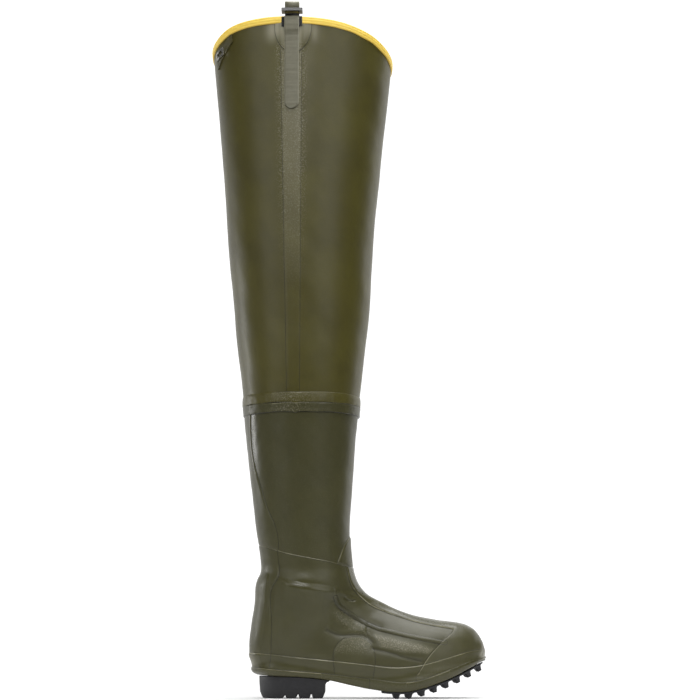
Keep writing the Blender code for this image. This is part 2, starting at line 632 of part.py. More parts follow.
def make_foot_layers(material):
    """The rubber layers laid on the foot and the lower leg, each within its outline seen from the side."""
    foxing = along_line(FOXING_TOP, VIEW_BACK, VIEW_FRONT, 0.0, 18)
    foxing += along_line(RAND_TOP, VIEW_FRONT, VIEW_BACK, GAP, 30)
    overlay("foxing", material, foxing, FOXING_THICKNESS)

    cap = above(FOXING_TOP, curve_through(CAP_EDGE, 9), GAP)
    cap += along_line(FOXING_TOP, cap[-1][0] + 6, VIEW_FRONT, GAP, 8) + [(VIEW_FRONT, CAP_EDGE[0][1])]
    overlay("toe_cap", material, cap, CAP_THICKNESS)

    stay = curve_through(STAY_EDGE, 13)
    ridge = [(206.5 - GAP, 94.0), (207.5 - GAP, 112.0), (130.0, 130.0), (100.0, 165.3)]
    overlay("front_stay", material, stay + ridge, STAY_THICKNESS)

    rib = np.array(curve_through(VAMP_RIB, 9))
    across = np.gradient(rib, axis=0)[:, ::-1] * (-1, 1)
    across *= RIB_WIDTH / 2 / np.linalg.norm(across, axis=1, keepdims=True)
    outline = [tuple(p) for p in rib + across] + [tuple(p) for p in (rib - across)[::-1]]
    overlay("vamp_rib_outer", material, outline, RIB_THICKNESS, sides=OUTER_SIDE)
    overlay("vamp_rib_inner", material, outline, RIB_THICKNESS, sides=INNER_SIDE)

    patch = [p for p in curve_through(SIDE_PATCH, 12) if p[1] > line_height(FOXING_TOP, p[0]) + 1]
    foot = along_line(FOXING_TOP, patch[-1][0], patch[0][0], GAP, 6)
    overlay("side_patch_outer", material, patch + foot, SHEET_THICKNESS, sides=OUTER_SIDE)
    overlay("side_patch_inner", material, patch + foot, SHEET_THICKNESS, sides=INNER_SIDE)

    edge = [p for p in curve_through(COUNTER_EDGE, 16) if p[1] < line_height(ANKLE_SEAM, p[0]) - 1.5]
    edge = above(FOXING_TOP, edge, GAP)
    counter = edge + along_line(FOXING_TOP, edge[-1][0] - 4, VIEW_BACK, GAP, 5)
    counter += along_line(ANKLE_SEAM, VIEW_BACK, edge[0][0], -GAP, 6)
    overlay("heel_counter", material, counter, SHEET_THICKNESS)
    strip = above(FOXING_TOP, curve_through(HEEL_STRIP_EDGE, 6), GAP)
    strip += along_line(FOXING_TOP, strip[-1][0] - 4, VIEW_BACK, GAP, 4)
    strip += [(VIEW_BACK, HEEL_STRIP_EDGE[0][1])]
    overlay("heel_strip", material, strip, HEEL_STRIP_THICKNESS, under=GAP + SHEET_THICKNESS)

    front = [p for p in shifted(stay, -GAP * 1.5) if 137.0 < p[1] < 164.0]
    rear = [p for p in shifted(edge, GAP * 1.5) if 151.0 < p[1] < 181.0]
    cuff = along_line(ANKLE_SEAM, rear[0][0], STAY_EDGE[0][0] - 1.2, -GAP, 5) + front
    cuff += along_line(ANKLE_STEP, front[-1][0] - 2, rear[-1][0], 0.0, 5) + rear[::-1]
    overlay("ankle_cuff_outer", material, cuff, SHEET_THICKNESS, sides=(-VIEW_SIDE, 0.0))
    overlay("ankle_cuff_inner", material, cuff, SHEET_THICKNESS, sides=(0.0, VIEW_SIDE))

    gusset = [p for p in curve_through(GUSSET_EDGE, 7) if p[1] > line_height(ANKLE_SEAM, p[0]) + 1.5]
    gusset += along_line(ANKLE_SEAM, gusset[-1][0] + 0.5, 68, GAP, 4) + [(100, 167.5), (100, 208)]
    overlay("front_gusset", material, gusset, SHEET_THICKNESS)

    top = BAND_FOOT - GAP
    back = [p for p in curve_through(BACK_STRIP_EDGE, 13) if p[1] > line_height(ANKLE_SEAM, p[0]) + 1.5]
    back = [(back[0][0], top)] + [p for p in back if p[1] < top - 4]
    back += along_line(ANKLE_SEAM, back[-1][0], VIEW_BACK, GAP, 6) + [(VIEW_BACK, top)]
    overlay("back_strip", material, back, SHEET_THICKNESS)


def make_insole(material):
    """The insole, on the midsole and inside the upper's wall."""
    outline = along_line(RAND_TOP, VIEW_BACK, VIEW_FRONT, GAP, 24)
    outline += along_line(RAND_TOP, VIEW_FRONT, VIEW_BACK, GAP + INSOLE_THICKNESS, 24)
    insole = side_prism("insole", material, outline, -VIEW_SIDE, VIEW_SIDE)
    boolean(insole, leg_form(-FOOT_WALL - 2 * GAP), "INTERSECT")
    return insole


def outline_edges(x, inset=0.0):
    """The outer and the inner edge of the sole at x, drawn in by an inset."""
    rows = np.array(SOLE_OUTLINE)
    return smooth(x, rows[:, 0], rows[:, 1:]) + np.array([inset, -inset])


def lofted_slab(name, material, rings):
    """A solid through closed loops of points, each along the outer side and back along the inner one."""
    count = len(rings[0])
    loops = [list(range(start, start + count)) for start in range(0, len(rings) * count, count)]
    faces = []
    for upper, lower in zip(loops, loops[1:]):
        faces += rim_faces(upper + upper[:1], lower + lower[:1])
    for loop in (loops[0], loops[-1]):
        faces += rim_faces(loop[: count // 2], loop[: count // 2 - 1 : -1])
    return mesh_object(name, material, np.concatenate(rings), faces)


def sole_slab(name, material, stations, levels):
    """A slab across the sole. Levels are (function of x giving the height, inset), from the top down."""
    smallest = 0.4
    rings = []
    for height, inset in levels:
        sides = []
        for side in (-1, 1):
            row = []
            for x in stations:
                outer, inner = outline_edges(x)
                half = max(smallest, (inner - outer) / 2 - inset)
                row.append((x, (outer + inner) / 2 + side * half, float(height(x))))
            sides.append(row)
        rings.append(sides[0] + sides[1][::-1])
    return lofted_slab(name, material, rings)


def sole_stations(x_from, x_to, count, round_start, round_end):
    """Stations along the sole, closer together at a rounded end."""
    share = np.linspace(0, 1, count)
    if round_start and round_end:
        share = (1 - np.cos(share * math.pi)) / 2
    elif round_start:
        share = 1 - np.cos(share * math.pi / 2)
    elif round_end:
        share = np.sin(share * math.pi / 2)
    return x_from + (x_to - x_from) * share


def make_midsole(material):
    """The olive rand slab under the foot: level with the foxing above, rolled under at its lower edge."""
    rows = np.array(SOLE_OUTLINE)
    stations = sole_stations(rows[0, 0] + 0.2, rows[-1, 0] - 0.2, 40, True, True)

    def part_way(share):
        return lambda x: line_height(RAND_TOP, x) * (1 - share) + line_height(SOLE_UNDER, x) * share

    levels = ((part_way(0.0), 0.6), (part_way(0.3), -0.4), (part_way(1.0), 2.4))
    return sole_slab("midsole", material, stations, levels)


def make_outsole(material):
    """The black forefoot plate with its rows of cone lugs, each square to the plate."""
    rows = np.array(SOLE_OUTLINE)
    stations = sole_stations(PLATE_BACK, rows[-1, 0] - PLATE_INSET - 1.5, 16, False, True)

    def plate_top(x):
        return line_height(SOLE_UNDER, x) - GAP

    def plate_under(x):
        return line_height(SOLE_UNDER, x) - GAP - PLATE_THICKNESS

    levels = ((plate_top, PLATE_INSET), (plate_under, PLATE_INSET + 0.6))
    plate = sole_slab("outsole", material, stations, levels)
    points, faces = [], []
    sides = range(LUG_SIDES)
    for x, y in lug_places():
        flat = x < LUG_FIRST + 1.5 * LUG_PITCH
        slope = 0.0 if flat else float(plate_under(x + 1) - plate_under(x - 1)) / 2
        down = np.array([slope, 0.0, -1.0]) / math.hypot(slope, 1.0)
        fore = np.array([1.0, 0.0, slope]) / math.hypot(slope, 1.0)
        across = np.array([0.0, 1.0, 0.0])
        middle = np.array([x, y, float(plate_under(x))])
        height = middle[2] if flat else LUG_HEIGHT
        start = len(points)
        for drop, radius in ((-LUG_ROOT, LUG_BASE / 2), (height, LUG_TIP / 2)):
            for k in sides:
                turn = 2 * math.pi * (k + 0.5) / LUG_SIDES
                outwards = fore * math.cos(turn) + across * math.sin(turn)
                points.append(middle + down * drop + outwards * radius)
        faces += [tuple(start + k for k in sides), tuple(start + 2 * LUG_SIDES - 1 - k for k in sides)]
        for k in sides:
            a, b = start + k, start + (k + 1) % LUG_SIDES
            faces.append((a, b, b + LUG_SIDES, a + LUG_SIDES))
    lugs = mesh_object("lugs", None, points, faces)
    boolean(plate, as_cutter(lugs), "UNION")
    return plate


def lug_places():
    """Middles of the lugs: rows across the forefoot, evenly spread between the plate's edges."""
    places = []
    x = LUG_FIRST
    for row in range(LUG_ROWS):
        slope = float(line_height(SOLE_UNDER, x + 1) - line_height(SOLE_UNDER, x - 1)) / 2
        low, high = outline_edges(x + 2.0, PLATE_INSET + LUG_BASE / 2 + 0.8)
        count = max(1, int((high - low) // (LUG_PITCH * 1.12)) + 1)
        for k in range(count):
            share = 0.5 if count < 2 else k / (count - 1)
            places.append((x, low + (high - low) * share))
        x += LUG_PITCH / math.hypot(1.0, slope)
    return places


def heel_ring(stations, taper, height):
    """A loop round the heel block, drawn in by a taper, at one height or under the sole."""
    sides = []
    for side in (-1, 1):
        row = []
        for x in stations:
            outer, inner = outline_edges(x)
            bend = max(0.0, (x - HEEL_ROUND_FROM) / (HEEL_BACK - HEEL_ROUND_FROM))
            widest = HEEL_HALF_WIDTH * math.sqrt(max(0.0, 1 - bend**2))
            half = max(0.6, min((inner - outer) / 2 - HEEL_INSET, widest) - taper / 2)
            along = HEEL_BREAST + (x - HEEL_BREAST) * (1 - taper * 0.012) - taper * 0.6
            z = float(line_height(SOLE_UNDER, x)) - GAP if height is None else height
            row.append((along, (outer + inner) / 2 + side * half, z))
        sides.append(row)
    return sides[0] + sides[1][::-1]


def make_heel(material):
    """The black heel block: tapered down to its tread, with notches across between its lugs."""
    stations = sole_stations(HEEL_BACK, HEEL_BREAST, 14, True, False)
    levels = ((0.0, None), (1.0, 4.0), (3.6, 0.0))
    heel = lofted_slab("heel", material, [heel_ring(stations, *level) for level in levels])
    for number, x in enumerate(HEEL_NOTCHES):
        foot, top = -2.0, NOTCH_HEIGHT
        notch = [(x - NOTCH_HALF_WIDTH, foot), (x + NOTCH_HALF_WIDTH, foot), (x + 1.4, top), (x - 0.6, top)]
        cutter = side_prism(f"heel_notch_{number}", None, notch, -VIEW_SIDE, VIEW_SIDE)
        boolean(heel, as_cutter(cutter), "DIFFERENCE")
    return heel


def main():
    clear_scene()
    olive = principled("olive_rubber", OLIVE, 0.42)
    strap_olive = principled("strap_rubber", STRAP_OLIVE, 0.55)
    yellow = principled("yellow_binding", YELLOW, 0.50)
    black = principled("black_rubber", BLACK, 0.55)
    black_web = principled("black_webbing", BLACK, 0.85)
    black_plastic = principled("black_plastic", BLACK, 0.30)
    felt = principled("insole_felt", LINING, 0.90)
    silver = principled("nickel_plate", SILVER, 0.25, 1.0)
    make_upper(olive)
    make_thigh_shaft(olive)
    make_foot_layers(olive)
    make_insole(felt)
    make_midsole(olive)
    make_outsole(black)
    make_heel(black)
    make_knee_bands(olive)
    make_side_seam_tape(olive)
    make_strap_patch(olive)
    make_collar_trim(yellow)
    make_strap_guard(black_web)
    make_strap(strap_olive)
    make_belt_loop(black_web, strap_olive, black_plastic)
    make_rear_cinch(strap_olive, silver)


main()
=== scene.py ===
# Hip wader, right boot: a rubber foot and lower leg laid up by hand from sheet, with a thigh-high shaft of
# rubberised fabric on it. The toe points along +X, the outer side is at -Y and the origin is under the heel.

import math

import bmesh
import bpy
import numpy as np
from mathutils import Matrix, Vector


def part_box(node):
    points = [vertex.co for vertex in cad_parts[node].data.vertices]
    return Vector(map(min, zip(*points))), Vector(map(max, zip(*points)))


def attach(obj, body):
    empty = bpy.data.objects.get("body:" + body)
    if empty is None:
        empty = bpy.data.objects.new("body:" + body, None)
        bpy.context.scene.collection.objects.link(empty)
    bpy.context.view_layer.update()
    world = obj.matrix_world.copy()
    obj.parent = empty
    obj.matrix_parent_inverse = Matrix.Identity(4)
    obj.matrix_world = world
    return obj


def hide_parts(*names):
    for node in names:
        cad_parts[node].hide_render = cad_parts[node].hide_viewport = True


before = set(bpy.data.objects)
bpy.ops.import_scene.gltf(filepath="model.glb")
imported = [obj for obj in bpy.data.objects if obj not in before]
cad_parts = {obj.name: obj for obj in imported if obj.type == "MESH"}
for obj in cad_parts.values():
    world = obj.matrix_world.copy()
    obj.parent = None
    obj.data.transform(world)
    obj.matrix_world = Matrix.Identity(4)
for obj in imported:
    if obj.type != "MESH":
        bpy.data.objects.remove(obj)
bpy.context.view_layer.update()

# The studio: a white cove with a pale floor. Soft boxes stand to the left and right of the camera and hang
# overhead, and two upright strips behind the boot draw the pale line down each side of the rubber.


def linear(colour):
    """An sRGB hex colour as linear RGBA."""
    values = [int(colour[k:k + 2], 16) / 255 for k in (1, 3, 5)]
    return (*[v / 12.92 if v <= 0.04045 else ((v + 0.055) / 1.055) ** 2.4 for v in values], 1.0)


def node(tree, kind, settings=None, **inputs):
    """Adds a node. An input is a value, or the socket it is linked from; in_0 is the first input."""
    made = tree.nodes.new(kind)
    for name, value in (settings or {}).items():
        setattr(made, name, value)
    for name, value in inputs.items():
        socket = made.inputs[int(name[3:])] if name.startswith("in_") else made.inputs[name.replace("_", " ")]
        if isinstance(value, bpy.types.NodeSocket):
            tree.links.new(value, socket)
        else:
            socket.default_value = value
    return made


def placed(name, data, place=(0, 0, 0), turn=(0, 0, 0)):
    made = bpy.data.objects.new(name, data)
    made.location = place
    made.rotation_euler = [math.radians(t) for t in turn]
    bpy.context.scene.collection.objects.link(made)
    return made


lens = bpy.data.cameras.new("photo_camera")
lens.lens = 97.25
lens.sensor_width = 36.0
lens.clip_start = 0.05
bpy.context.scene.camera = placed("photo_camera", lens, (0.073, -2.440, 0.055), (99.136, 0, 0))
bpy.context.scene.view_settings.view_transform = "Standard"


def soft_box(name, place, aim, size, power):
    lamp = bpy.data.lights.new(name, "AREA")
    lamp.shape = "RECTANGLE"
    lamp.size, lamp.size_y = size
    lamp.energy = power
    made = placed(name, lamp, place)
    away = made.location - type(made.location)(aim)
    made.rotation_euler = away.to_track_quat("Z", "Y").to_euler()


soft_box("left_box", (-1.7, -1.9, 1.15), (0.0, 0.0, 0.55), (1.2, 1.7), 12)
soft_box("right_box", (1.6, -2.3, 1.3), (0.0, 0.0, 0.35), (1.4, 1.6), 15)
soft_box("left_strip", (-1.85, 0.6, 0.5), (0.0, 0.0, 0.3), (0.5, 0.6), 6.5)
soft_box("right_strip", (1.8, 1.1, 0.6), (0.0, 0.0, 0.45), (0.5, 1.8), 4)
soft_box("top_box", (0.3, 0.05, 2.1), (0.1, 0.0, 0.0), (1.9, 1.6), 49)
soft_box("front_box", (-0.1, -2.1, 1.8), (0.0, 0.0, 0.8), (0.8, 0.5), 15)

# The camera sees the cove white, but it lights and mirrors in the rubber only from behind the boot
white_cove = bpy.data.worlds.new("white_cove")
bpy.context.scene.world = white_cove
white_cove.use_nodes = True
tree = white_cove.node_tree
seen = node(tree, "ShaderNodeLightPath").outputs["Is Camera Ray"]
way = node(tree, "ShaderNodeSeparateXYZ", Vector=node(tree, "ShaderNodeTexCoord").outputs["Generated"])
behind = node(tree, "ShaderNodeMapRange", Value=way.outputs[1],
              From_Min=0.3, From_Max=0.8, To_Min=0.03, To_Max=1.2)
strength = node(tree, "ShaderNodeMix", in_0=seen, in_2=behind.outputs[0], in_3=1.2)
tree.nodes["Background"].inputs["Color"].default_value = (1, 1, 1, 1)
tree.links.new(strength.outputs[0], tree.nodes["Background"].inputs["Strength"])

# Matt white paint on the floor, lit enough from below to keep the shadow pale
cove_paint = bpy.data.materials.new("white_cove_paint")
cove_paint.use_nodes = True
tree = cove_paint.node_tree
paint = tree.nodes["Principled BSDF"]
spots = node(tree, "ShaderNodeTexNoise", Scale=3.0, Detail=3.0)
shade = node(tree, "ShaderNodeMix", {"data_type": "RGBA"}, in_0=spots.outputs[0],
             in_6=linear("#DFDFDF"), in_7=linear("#E5E5E5"))
tree.links.new(shade.outputs[2], paint.inputs["Base Color"])
paint.inputs["Roughness"].default_value = 0.9
paint.inputs["Emission Color"].default_value = (1, 1, 1, 1)
paint.inputs["Emission Strength"].default_value = 0.16
floor_mesh = bpy.data.meshes.new("floor")
floor_mesh.from_pydata([(-0.7, -0.55, 0), (0.9, -0.55, 0), (0.9, 0.7, 0), (-0.7, 0.7, 0)], [], [(0, 1, 2, 3)])
floor_mesh.materials.append(cove_paint)
placed("floor", floor_mesh)

# Foot: sheet rubber laid over the last and cured in one piece with its layers: foxing, toe cap, stay over
# the instep, ribs, side patches, counter and heel strip. Each layer ends in a soft step with a fine lip.

# Lengths are in millimetres from here on. The gap is the air between neighbouring solids.
MM = 0.001
GAP = 0.3

# One row per section, from the toe to above the collar. A section is a closed curve whose
# plane turns from upright at the toe to level in the leg. Columns: front x and z, back x and z, middle y,
# outer and inner half width, where it is widest, and the powers of its front and back halves.
SECTIONS = np.array((
    (243.2, 59.0, 242.4, 48.5, 8.0, 8.5, 8.5, 0.50, 2.0, 2.0),
    (240.0, 71.0, 238.0, 43.0, 7.5, 17.5, 17.5, 0.50, 2.0, 2.0),
    (232.5, 82.6, 229.0, 37.0, 6.0, 26.0, 26.0, 0.45, 2.0, 2.2),
    (222.8, 89.6, 215.8, 29.8, 5.0, 34.5, 35.0, 0.42, 2.0, 2.4),
    (210.2, 93.4, 199.4, 22.5, 4.0, 42.0, 43.0, 0.40, 2.0, 2.6),
    (197.6, 95.3, 176.6, 15.2, 3.0, 48.0, 49.5, 0.38, 1.95, 2.7),
    (183.7, 96.9, 146.7, 10.2, 1.5, 52.0, 52.5, 0.38, 1.9, 2.7),
    (168.2, 99.3, 111.1, 11.4, -1.0, 50.5, 48.0, 0.38, 1.85, 2.7),
    (152.9, 102.7, 73.0, 17.0, -2.0, 46.0, 42.5, 0.38, 1.8, 2.7),
    (138.8, 107.5, 34.9, 22.5, -1.5, 41.5, 40.0, 0.40, 1.8, 2.6),
    (126.0, 112.6, -3.3, 26.5, -1.0, 40.0, 39.5, 0.42, 1.8, 2.5),
    (114.3, 118.5, -35.6, 29.0, -0.5, 40.0, 40.0, 0.44, 1.8, 2.4),
    (104.0, 123.7, -49.8, 40.5, 0.0, 41.5, 41.5, 0.45, 1.85, 2.3),
    (95.0, 129.0, -53.0, 62.9, 0.0, 44.0, 44.0, 0.46, 1.9, 2.2),
    (88.0, 135.6, -50.5, 91.9, 0.0, 46.5, 46.5, 0.47, 1.9, 2.1),
    (82.5, 143.5, -46.6, 120.8, 0.0, 48.5, 48.5, 0.48, 2.0, 2.0),
    (79.0, 151.5, -45.4, 141.5, 0.0, 49.0, 49.0, 0.49, 2.0, 2.0),
    (76.0, 163.0, -40.2, 158.0, 0.0, 46.0, 46.0, 0.50, 2.0, 2.0),
    (74.0, 183.3, -40.6, 175.5, 0.0, 46.5, 46.5, 0.50, 2.0, 2.0),
    (72.6, 212.7, -46.6, 212.7, 0.0, 49.0, 49.0, 0.50, 2.0, 2.0),
    (76.2, 264.3, -52.8, 264.3, 0.0, 53.5, 53.5, 0.50, 2.0, 2.0),
    (79.5, 316.2, -58.6, 316.2, 0.0, 58.0, 58.0, 0.50, 2.0, 2.0),
    (87.0, 394.6, -67.2, 394.6, 0.0, 66.0, 66.0, 0.50, 2.0, 2.0),
    (98.6, 500.5, -79.1, 500.5, 0.0, 74.0, 74.0, 0.50, 2.0, 2.0),
    (105.3, 607.9, -88.7, 607.9, 0.0, 79.0, 79.0, 0.50, 2.0, 2.0),
    (116.2, 716.7, -97.2, 716.7, 0.0, 82.5, 82.5, 0.50, 2.0, 2.0),
    (125.3, 799.3, -105.0, 799.3, 0.0, 84.0, 84.0, 0.50, 2.0, 2.0),
    (130.5, 850.0, -110.0, 850.0, 0.0, 85.0, 85.0, 0.50, 2.0, 2.0),
    (134.0, 890.0, -114.0, 890.0, 0.0, 85.5, 85.5, 0.50, 2.0, 2.0),
))
TOE_TIP = np.array((244.0, 8.0, 54.0))
MIDDLES = (SECTIONS[:, 0:2] + SECTIONS[:, 2:4]) / 2
PLACES = np.concatenate([[0.0], np.cumsum(np.linalg.norm(np.diff(MIDDLES, axis=0), axis=1))])
# Places of a section at the ankle, of the last tilted section and of the first level one
ANKLE_PLACE, CUFF_PLACE, SHIN_PLACE = PLACES[15], PLACES[18], PLACES[19]


def smooth(at, knots, values):
    """A cubic through the knots whose slope at each is that of the parabola through its neighbours."""
    at, knots, values = (np.asarray(v, float) for v in (at, knots, values))
    steps = np.diff(knots)
    tail = (1,) * (values.ndim - 1)
    chord = np.diff(values, axis=0) / steps.reshape(-1, *tail)
    slope = np.empty_like(values)
    before, after = steps[:-1].reshape(-1, *tail), steps[1:].reshape(-1, *tail)
    slope[1:-1] = (chord[1:] * before + chord[:-1] * after) / (before + after)
    slope[0], slope[-1] = chord[0], chord[-1]
    place = np.clip(np.searchsorted(knots, at, side="right") - 1, 0, len(steps) - 1)
    share = ((at - knots[place]) / steps[place]).reshape(at.shape + tail)
    step = steps[place].reshape(share.shape)
    rise = values[place + 1] - values[place]
    start, end = slope[place] * step, slope[place + 1] * step
    return values[place] + share * (
        start + share * (3 * rise - 2 * start - end + share * (start + end - 2 * rise))
    )


def bare_point(place, angle):
    """Point of the bare form at this place up the leg and this angle round from the front."""
    row = smooth(place, PLACES, SECTIONS)
    front, back = row[..., 0:2], row[..., 2:4]
    middle, outer, inner, widest, front_power, back_power = np.moveaxis(row[..., 4:], -1, 0)
    cosine, sine = np.cos(angle), np.sin(angle)
    power = np.where(cosine > 0, front_power, back_power)
    reach = np.where(cosine > 0, 1 - widest, widest)
    along = widest + np.sign(cosine) * reach * np.abs(cosine) ** (2 / power)
    y = middle - np.sign(sine) * np.where(sine > 0, outer, inner) * np.abs(sine) ** (2 / power)
    chord = back + (front - back) * along[..., None]
    return np.stack([chord[..., 0], y, chord[..., 1]], axis=-1)


def leg_point(place, angle, offset=0.0):
    """Point at this distance outside the bare form."""
    place, angle, offset = np.broadcast_arrays(*(np.asarray(v, float) for v in (place, angle, offset)))
    low, high = np.maximum(place - 0.6, 0), np.minimum(place + 0.6, PLACES[-1])
    up = bare_point(high, angle) - bare_point(low, angle)
    normal = np.cross(up, bare_point(place, angle + 0.02) - bare_point(place, angle - 0.02))
    normal /= np.linalg.norm(normal, axis=-1, keepdims=True)
    return bare_point(place, angle) + normal * offset[..., None]


def even_angles(places, shares):
    """Angles that divide each section's length evenly, from the front round over the outer side."""
    dense = np.linspace(0, 2 * math.pi, 1441)
    rings = bare_point(np.asarray(places)[:, None], dense[None, :])
    steps = np.linalg.norm(np.diff(rings, axis=1), axis=-1)
    length = np.concatenate([np.zeros((len(rings), 1)), np.cumsum(steps, axis=1)], axis=1)
    return np.array([np.interp(shares * row[-1], row, dense) for row in length])


def ring_places(first, last, step):
    """Places up the leg whose rings lie this far apart where they are furthest apart."""
    dense = np.linspace(first, last, 500)
    ring = bare_point(dense[:, None], np.array([0.0, 0.5, 1.0])[None, :] * math.pi)
    gaps = np.linalg.norm(np.diff(ring, axis=0), axis=-1)
    gaps[:, 2] *= (ring[1:, 2, 2] > 42.0)
    length = np.concatenate([[0.0], np.cumsum(gaps.max(axis=1))])
    return np.interp(np.linspace(0, length[-1], int(length[-1] / step) + 1), length, dense)


def line_height(line, x):
    """Height at x of a line seen from the side."""
    rows = np.array(line)
    return smooth(np.clip(x, rows[0, 0], rows[-1, 0]), rows[:, 0], rows[:, 1])


def drawn(rows, count=40):
    """Points of a smooth curve through rows of (x, z), even along its length."""
    rows = np.array(rows, float)
    length = np.concatenate([[0.0], np.cumsum(np.linalg.norm(np.diff(rows, axis=0), axis=1))])
    return smooth(np.linspace(0, length[-1], count), length, rows)


def line_distance(points, path):
    """Distance from each (x, z) to a drawn path."""
    best = np.full(len(points), 1e9)
    for start, end in zip(path[:-1], path[1:]):
        run = end - start
        share = np.clip((points - start) @ run / (run @ run), 0, 1)
        best = np.minimum(best, np.linalg.norm(points - start - share[:, None] * run, axis=1))
    return best


def inside_distance(points, outline):
    """Distance from each (x, z) to an outline, positive inside it."""
    ring = np.vstack([outline, outline[:1]])
    x, z = points.T
    inside = np.zeros(len(points), bool)
    for (x0, z0), (x1, z1) in zip(ring[:-1], ring[1:]):
        if z0 != z1:
            inside ^= ((z0 > z) != (z1 > z)) & (x < (x1 - x0) * (z - z0) / (z1 - z0) + x0)
    return np.where(inside, 1.0, -1.0) * line_distance(points, ring)


def soft_step(distance, width):
    share = np.clip(distance / width + 0.5, 0, 1)
    return share * share * (3 - 2 * share)


def hand_laid(points, size, seed):
    """Slow waves of about this size, from -1 to 1, as sheet rubber has where it was rolled down by hand."""
    chance = np.random.default_rng(seed)
    total = np.zeros(len(points))
    for _ in range(7):
        way = chance.normal(size=3)
        way *= chance.uniform(0.6, 1.6) / np.linalg.norm(way)
        total += np.sin(points @ way * 2 * math.pi / size + chance.uniform(0, 2 * math.pi))
    return total / 4.0


def quads(rings, columns, closed=True):
    ring = np.arange(rings - 1)[:, None] * columns
    first = np.arange(columns if closed else columns - 1)[None, :]
    second = (first + 1) % columns
    corners = (ring + first, ring + columns + first, ring + columns + second, ring + second)
    return np.stack(np.broadcast_arrays(*corners), axis=-1).reshape(-1, 4)


def piece(name, points, faces, material, marks=None):
    """A mesh piece from points in millimetres, on the boot's one body. Marks are values at its points."""
    mesh = bpy.data.meshes.new(name)
    mesh.from_pydata((np.asarray(points) * MM).tolist(), [], [list(map(int, f)) for f in faces])
    mesh.shade_smooth()
    mesh.materials.append(material)
    for mark, values in (marks or {}).items():
        mesh.attributes.new(mark, "FLOAT", "POINT").data.foreach_set("value", np.asarray(values, np.float32))
    made = placed(name, mesh)
    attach(made, "root")
    return made


# Edges of the layers and lines of the form, seen from the side as (x, z)
FOXING_TOP = (
    (-60.0, 57.2), (-52.0, 56.9), (9.0, 51.0), (52.0, 46.6), (95.0, 41.9), (127.0, 38.6),
    (160.0, 41.0), (181.0, 46.3), (203.0, 52.7), (224.0, 58.6), (250.0, 61.5),
)
RAND_TOP = (
    (-60.0, 39.6), (-49.0, 39.1), (-14.0, 35.7), (35.0, 32.0), (98.0, 25.1), (144.0, 20.8),
    (160.0, 22.9), (181.0, 30.0), (200.0, 36.8), (224.0, 45.5), (250.0, 53.5),
)
ANKLE_SEAM = (
    (-70.0, 197.0), (-41.0, 192.3), (-6.5, 181.0), (20.0, 175.6), (52.0, 169.6), (68.0, 165.6), (90.0, 162.0),
)
ANKLE_STEP = ((-70.0, 162.0), (-40.0, 159.0), (0.0, 144.0), (30.0, 139.5), (61.0, 136.0), (80.0, 134.5))
COUNTER_EDGE = ((-18.6, 220.0), (-18.6, 181.0), (-18.4, 149.0), (-24.0, 141.0), (-25.9, 93.0), (-26.6, 30.0))
HEEL_STRIP_EDGE = ((-28.0, 172.0), (-29.5, 152.0), (-32.6, 115.0), (-35.9, 85.0), (-38.5, 40.0))
STAY_EDGE = (
    (66.3, 168.0), (68.5, 160.5), (75.5, 139.6), (84.4, 128.0), (98.0, 116.6), (121.0, 106.4), (152.5, 95.8),
    (174.0, 90.7), (202.5, 86.0), (212.0, 84.5),
)
CAP_EDGE = (
    (207.9, 110.0), (206.9, 94.0), (203.9, 85.9), (185.8, 67.5), (170.3, 50.5), (162.0, 38.0), (155.0, 28.0),
)
VAMP_RIB = (
    (54.6, 125.6), (58.3, 117.2), (72.9, 106.0), (92.7, 93.6), (110.4, 86.4), (131.0, 81.0), (192.0, 68.4),
)
SIDE_PATCH = (
    (54.2, 30.0), (54.2, 62.0), (63.0, 72.9), (77.0, 76.0), (93.0, 72.9), (101.8, 62.0), (102.7, 26.0),
)
RIB_WIDTH = 4.6
HEEL_STRIP_TOP = 153.0

# Creases and swellings of the rubber: path seen from the side, half width, and height (below 0 a trough)
CREASES = (
    ("lower vamp crease",
     ((101.0, 61.5), (111.3, 59.4), (123.2, 56.6), (139.1, 51.5), (162.0, 46.5)), 2.4, -1.1),
    ("vamp belly", ((104.0, 73.0), (130.0, 67.5), (158.0, 59.0), (176.0, 55.0)), 6.0, 1.1),
    ("instep belly", ((60.0, 98.0), (74.0, 90.0), (88.0, 84.0)), 7.0, 1.5),
    ("panel split", ((95.5, 94.0), (94.5, 84.0), (95.5, 76.0)), 1.5, -0.7),
    ("rib valley", ((54.5, 121.0), (62.5, 111.5), (76.0, 102.5), (92.0, 94.5), (110.0, 87.5)), 4.6, -1.3),
    ("panel lip", ((54.1, 136.0), (54.5, 126.6), (53.3, 118.7)), 1.0, 0.7),
    ("side hollow", ((48.0, 122.0), (46.0, 104.0), (46.5, 88.0)), 6.0, -0.9),
    ("patch trough",
     ((44.0, 85.0), (51.4, 81.0), (60.0, 78.6), (77.0, 79.0), (92.0, 77.4), (101.5, 70.0)), 2.3, -1.2),
    ("bend crease", ((66.6, 125.4), (69.8, 122.6), (78.6, 121.9)), 1.2, -0.9),
    ("bend swelling", ((64.0, 131.0), (74.0, 128.5)), 3.0, 0.6),
    ("heel hollow", ((-14.0, 140.0), (-17.0, 100.0), (-18.0, 62.0)), 5.0, -0.5),
    ("toe nose", ((238.0, 66.0), (240.5, 56.0), (241.0, 46.0)), 4.5, 0.9),
)

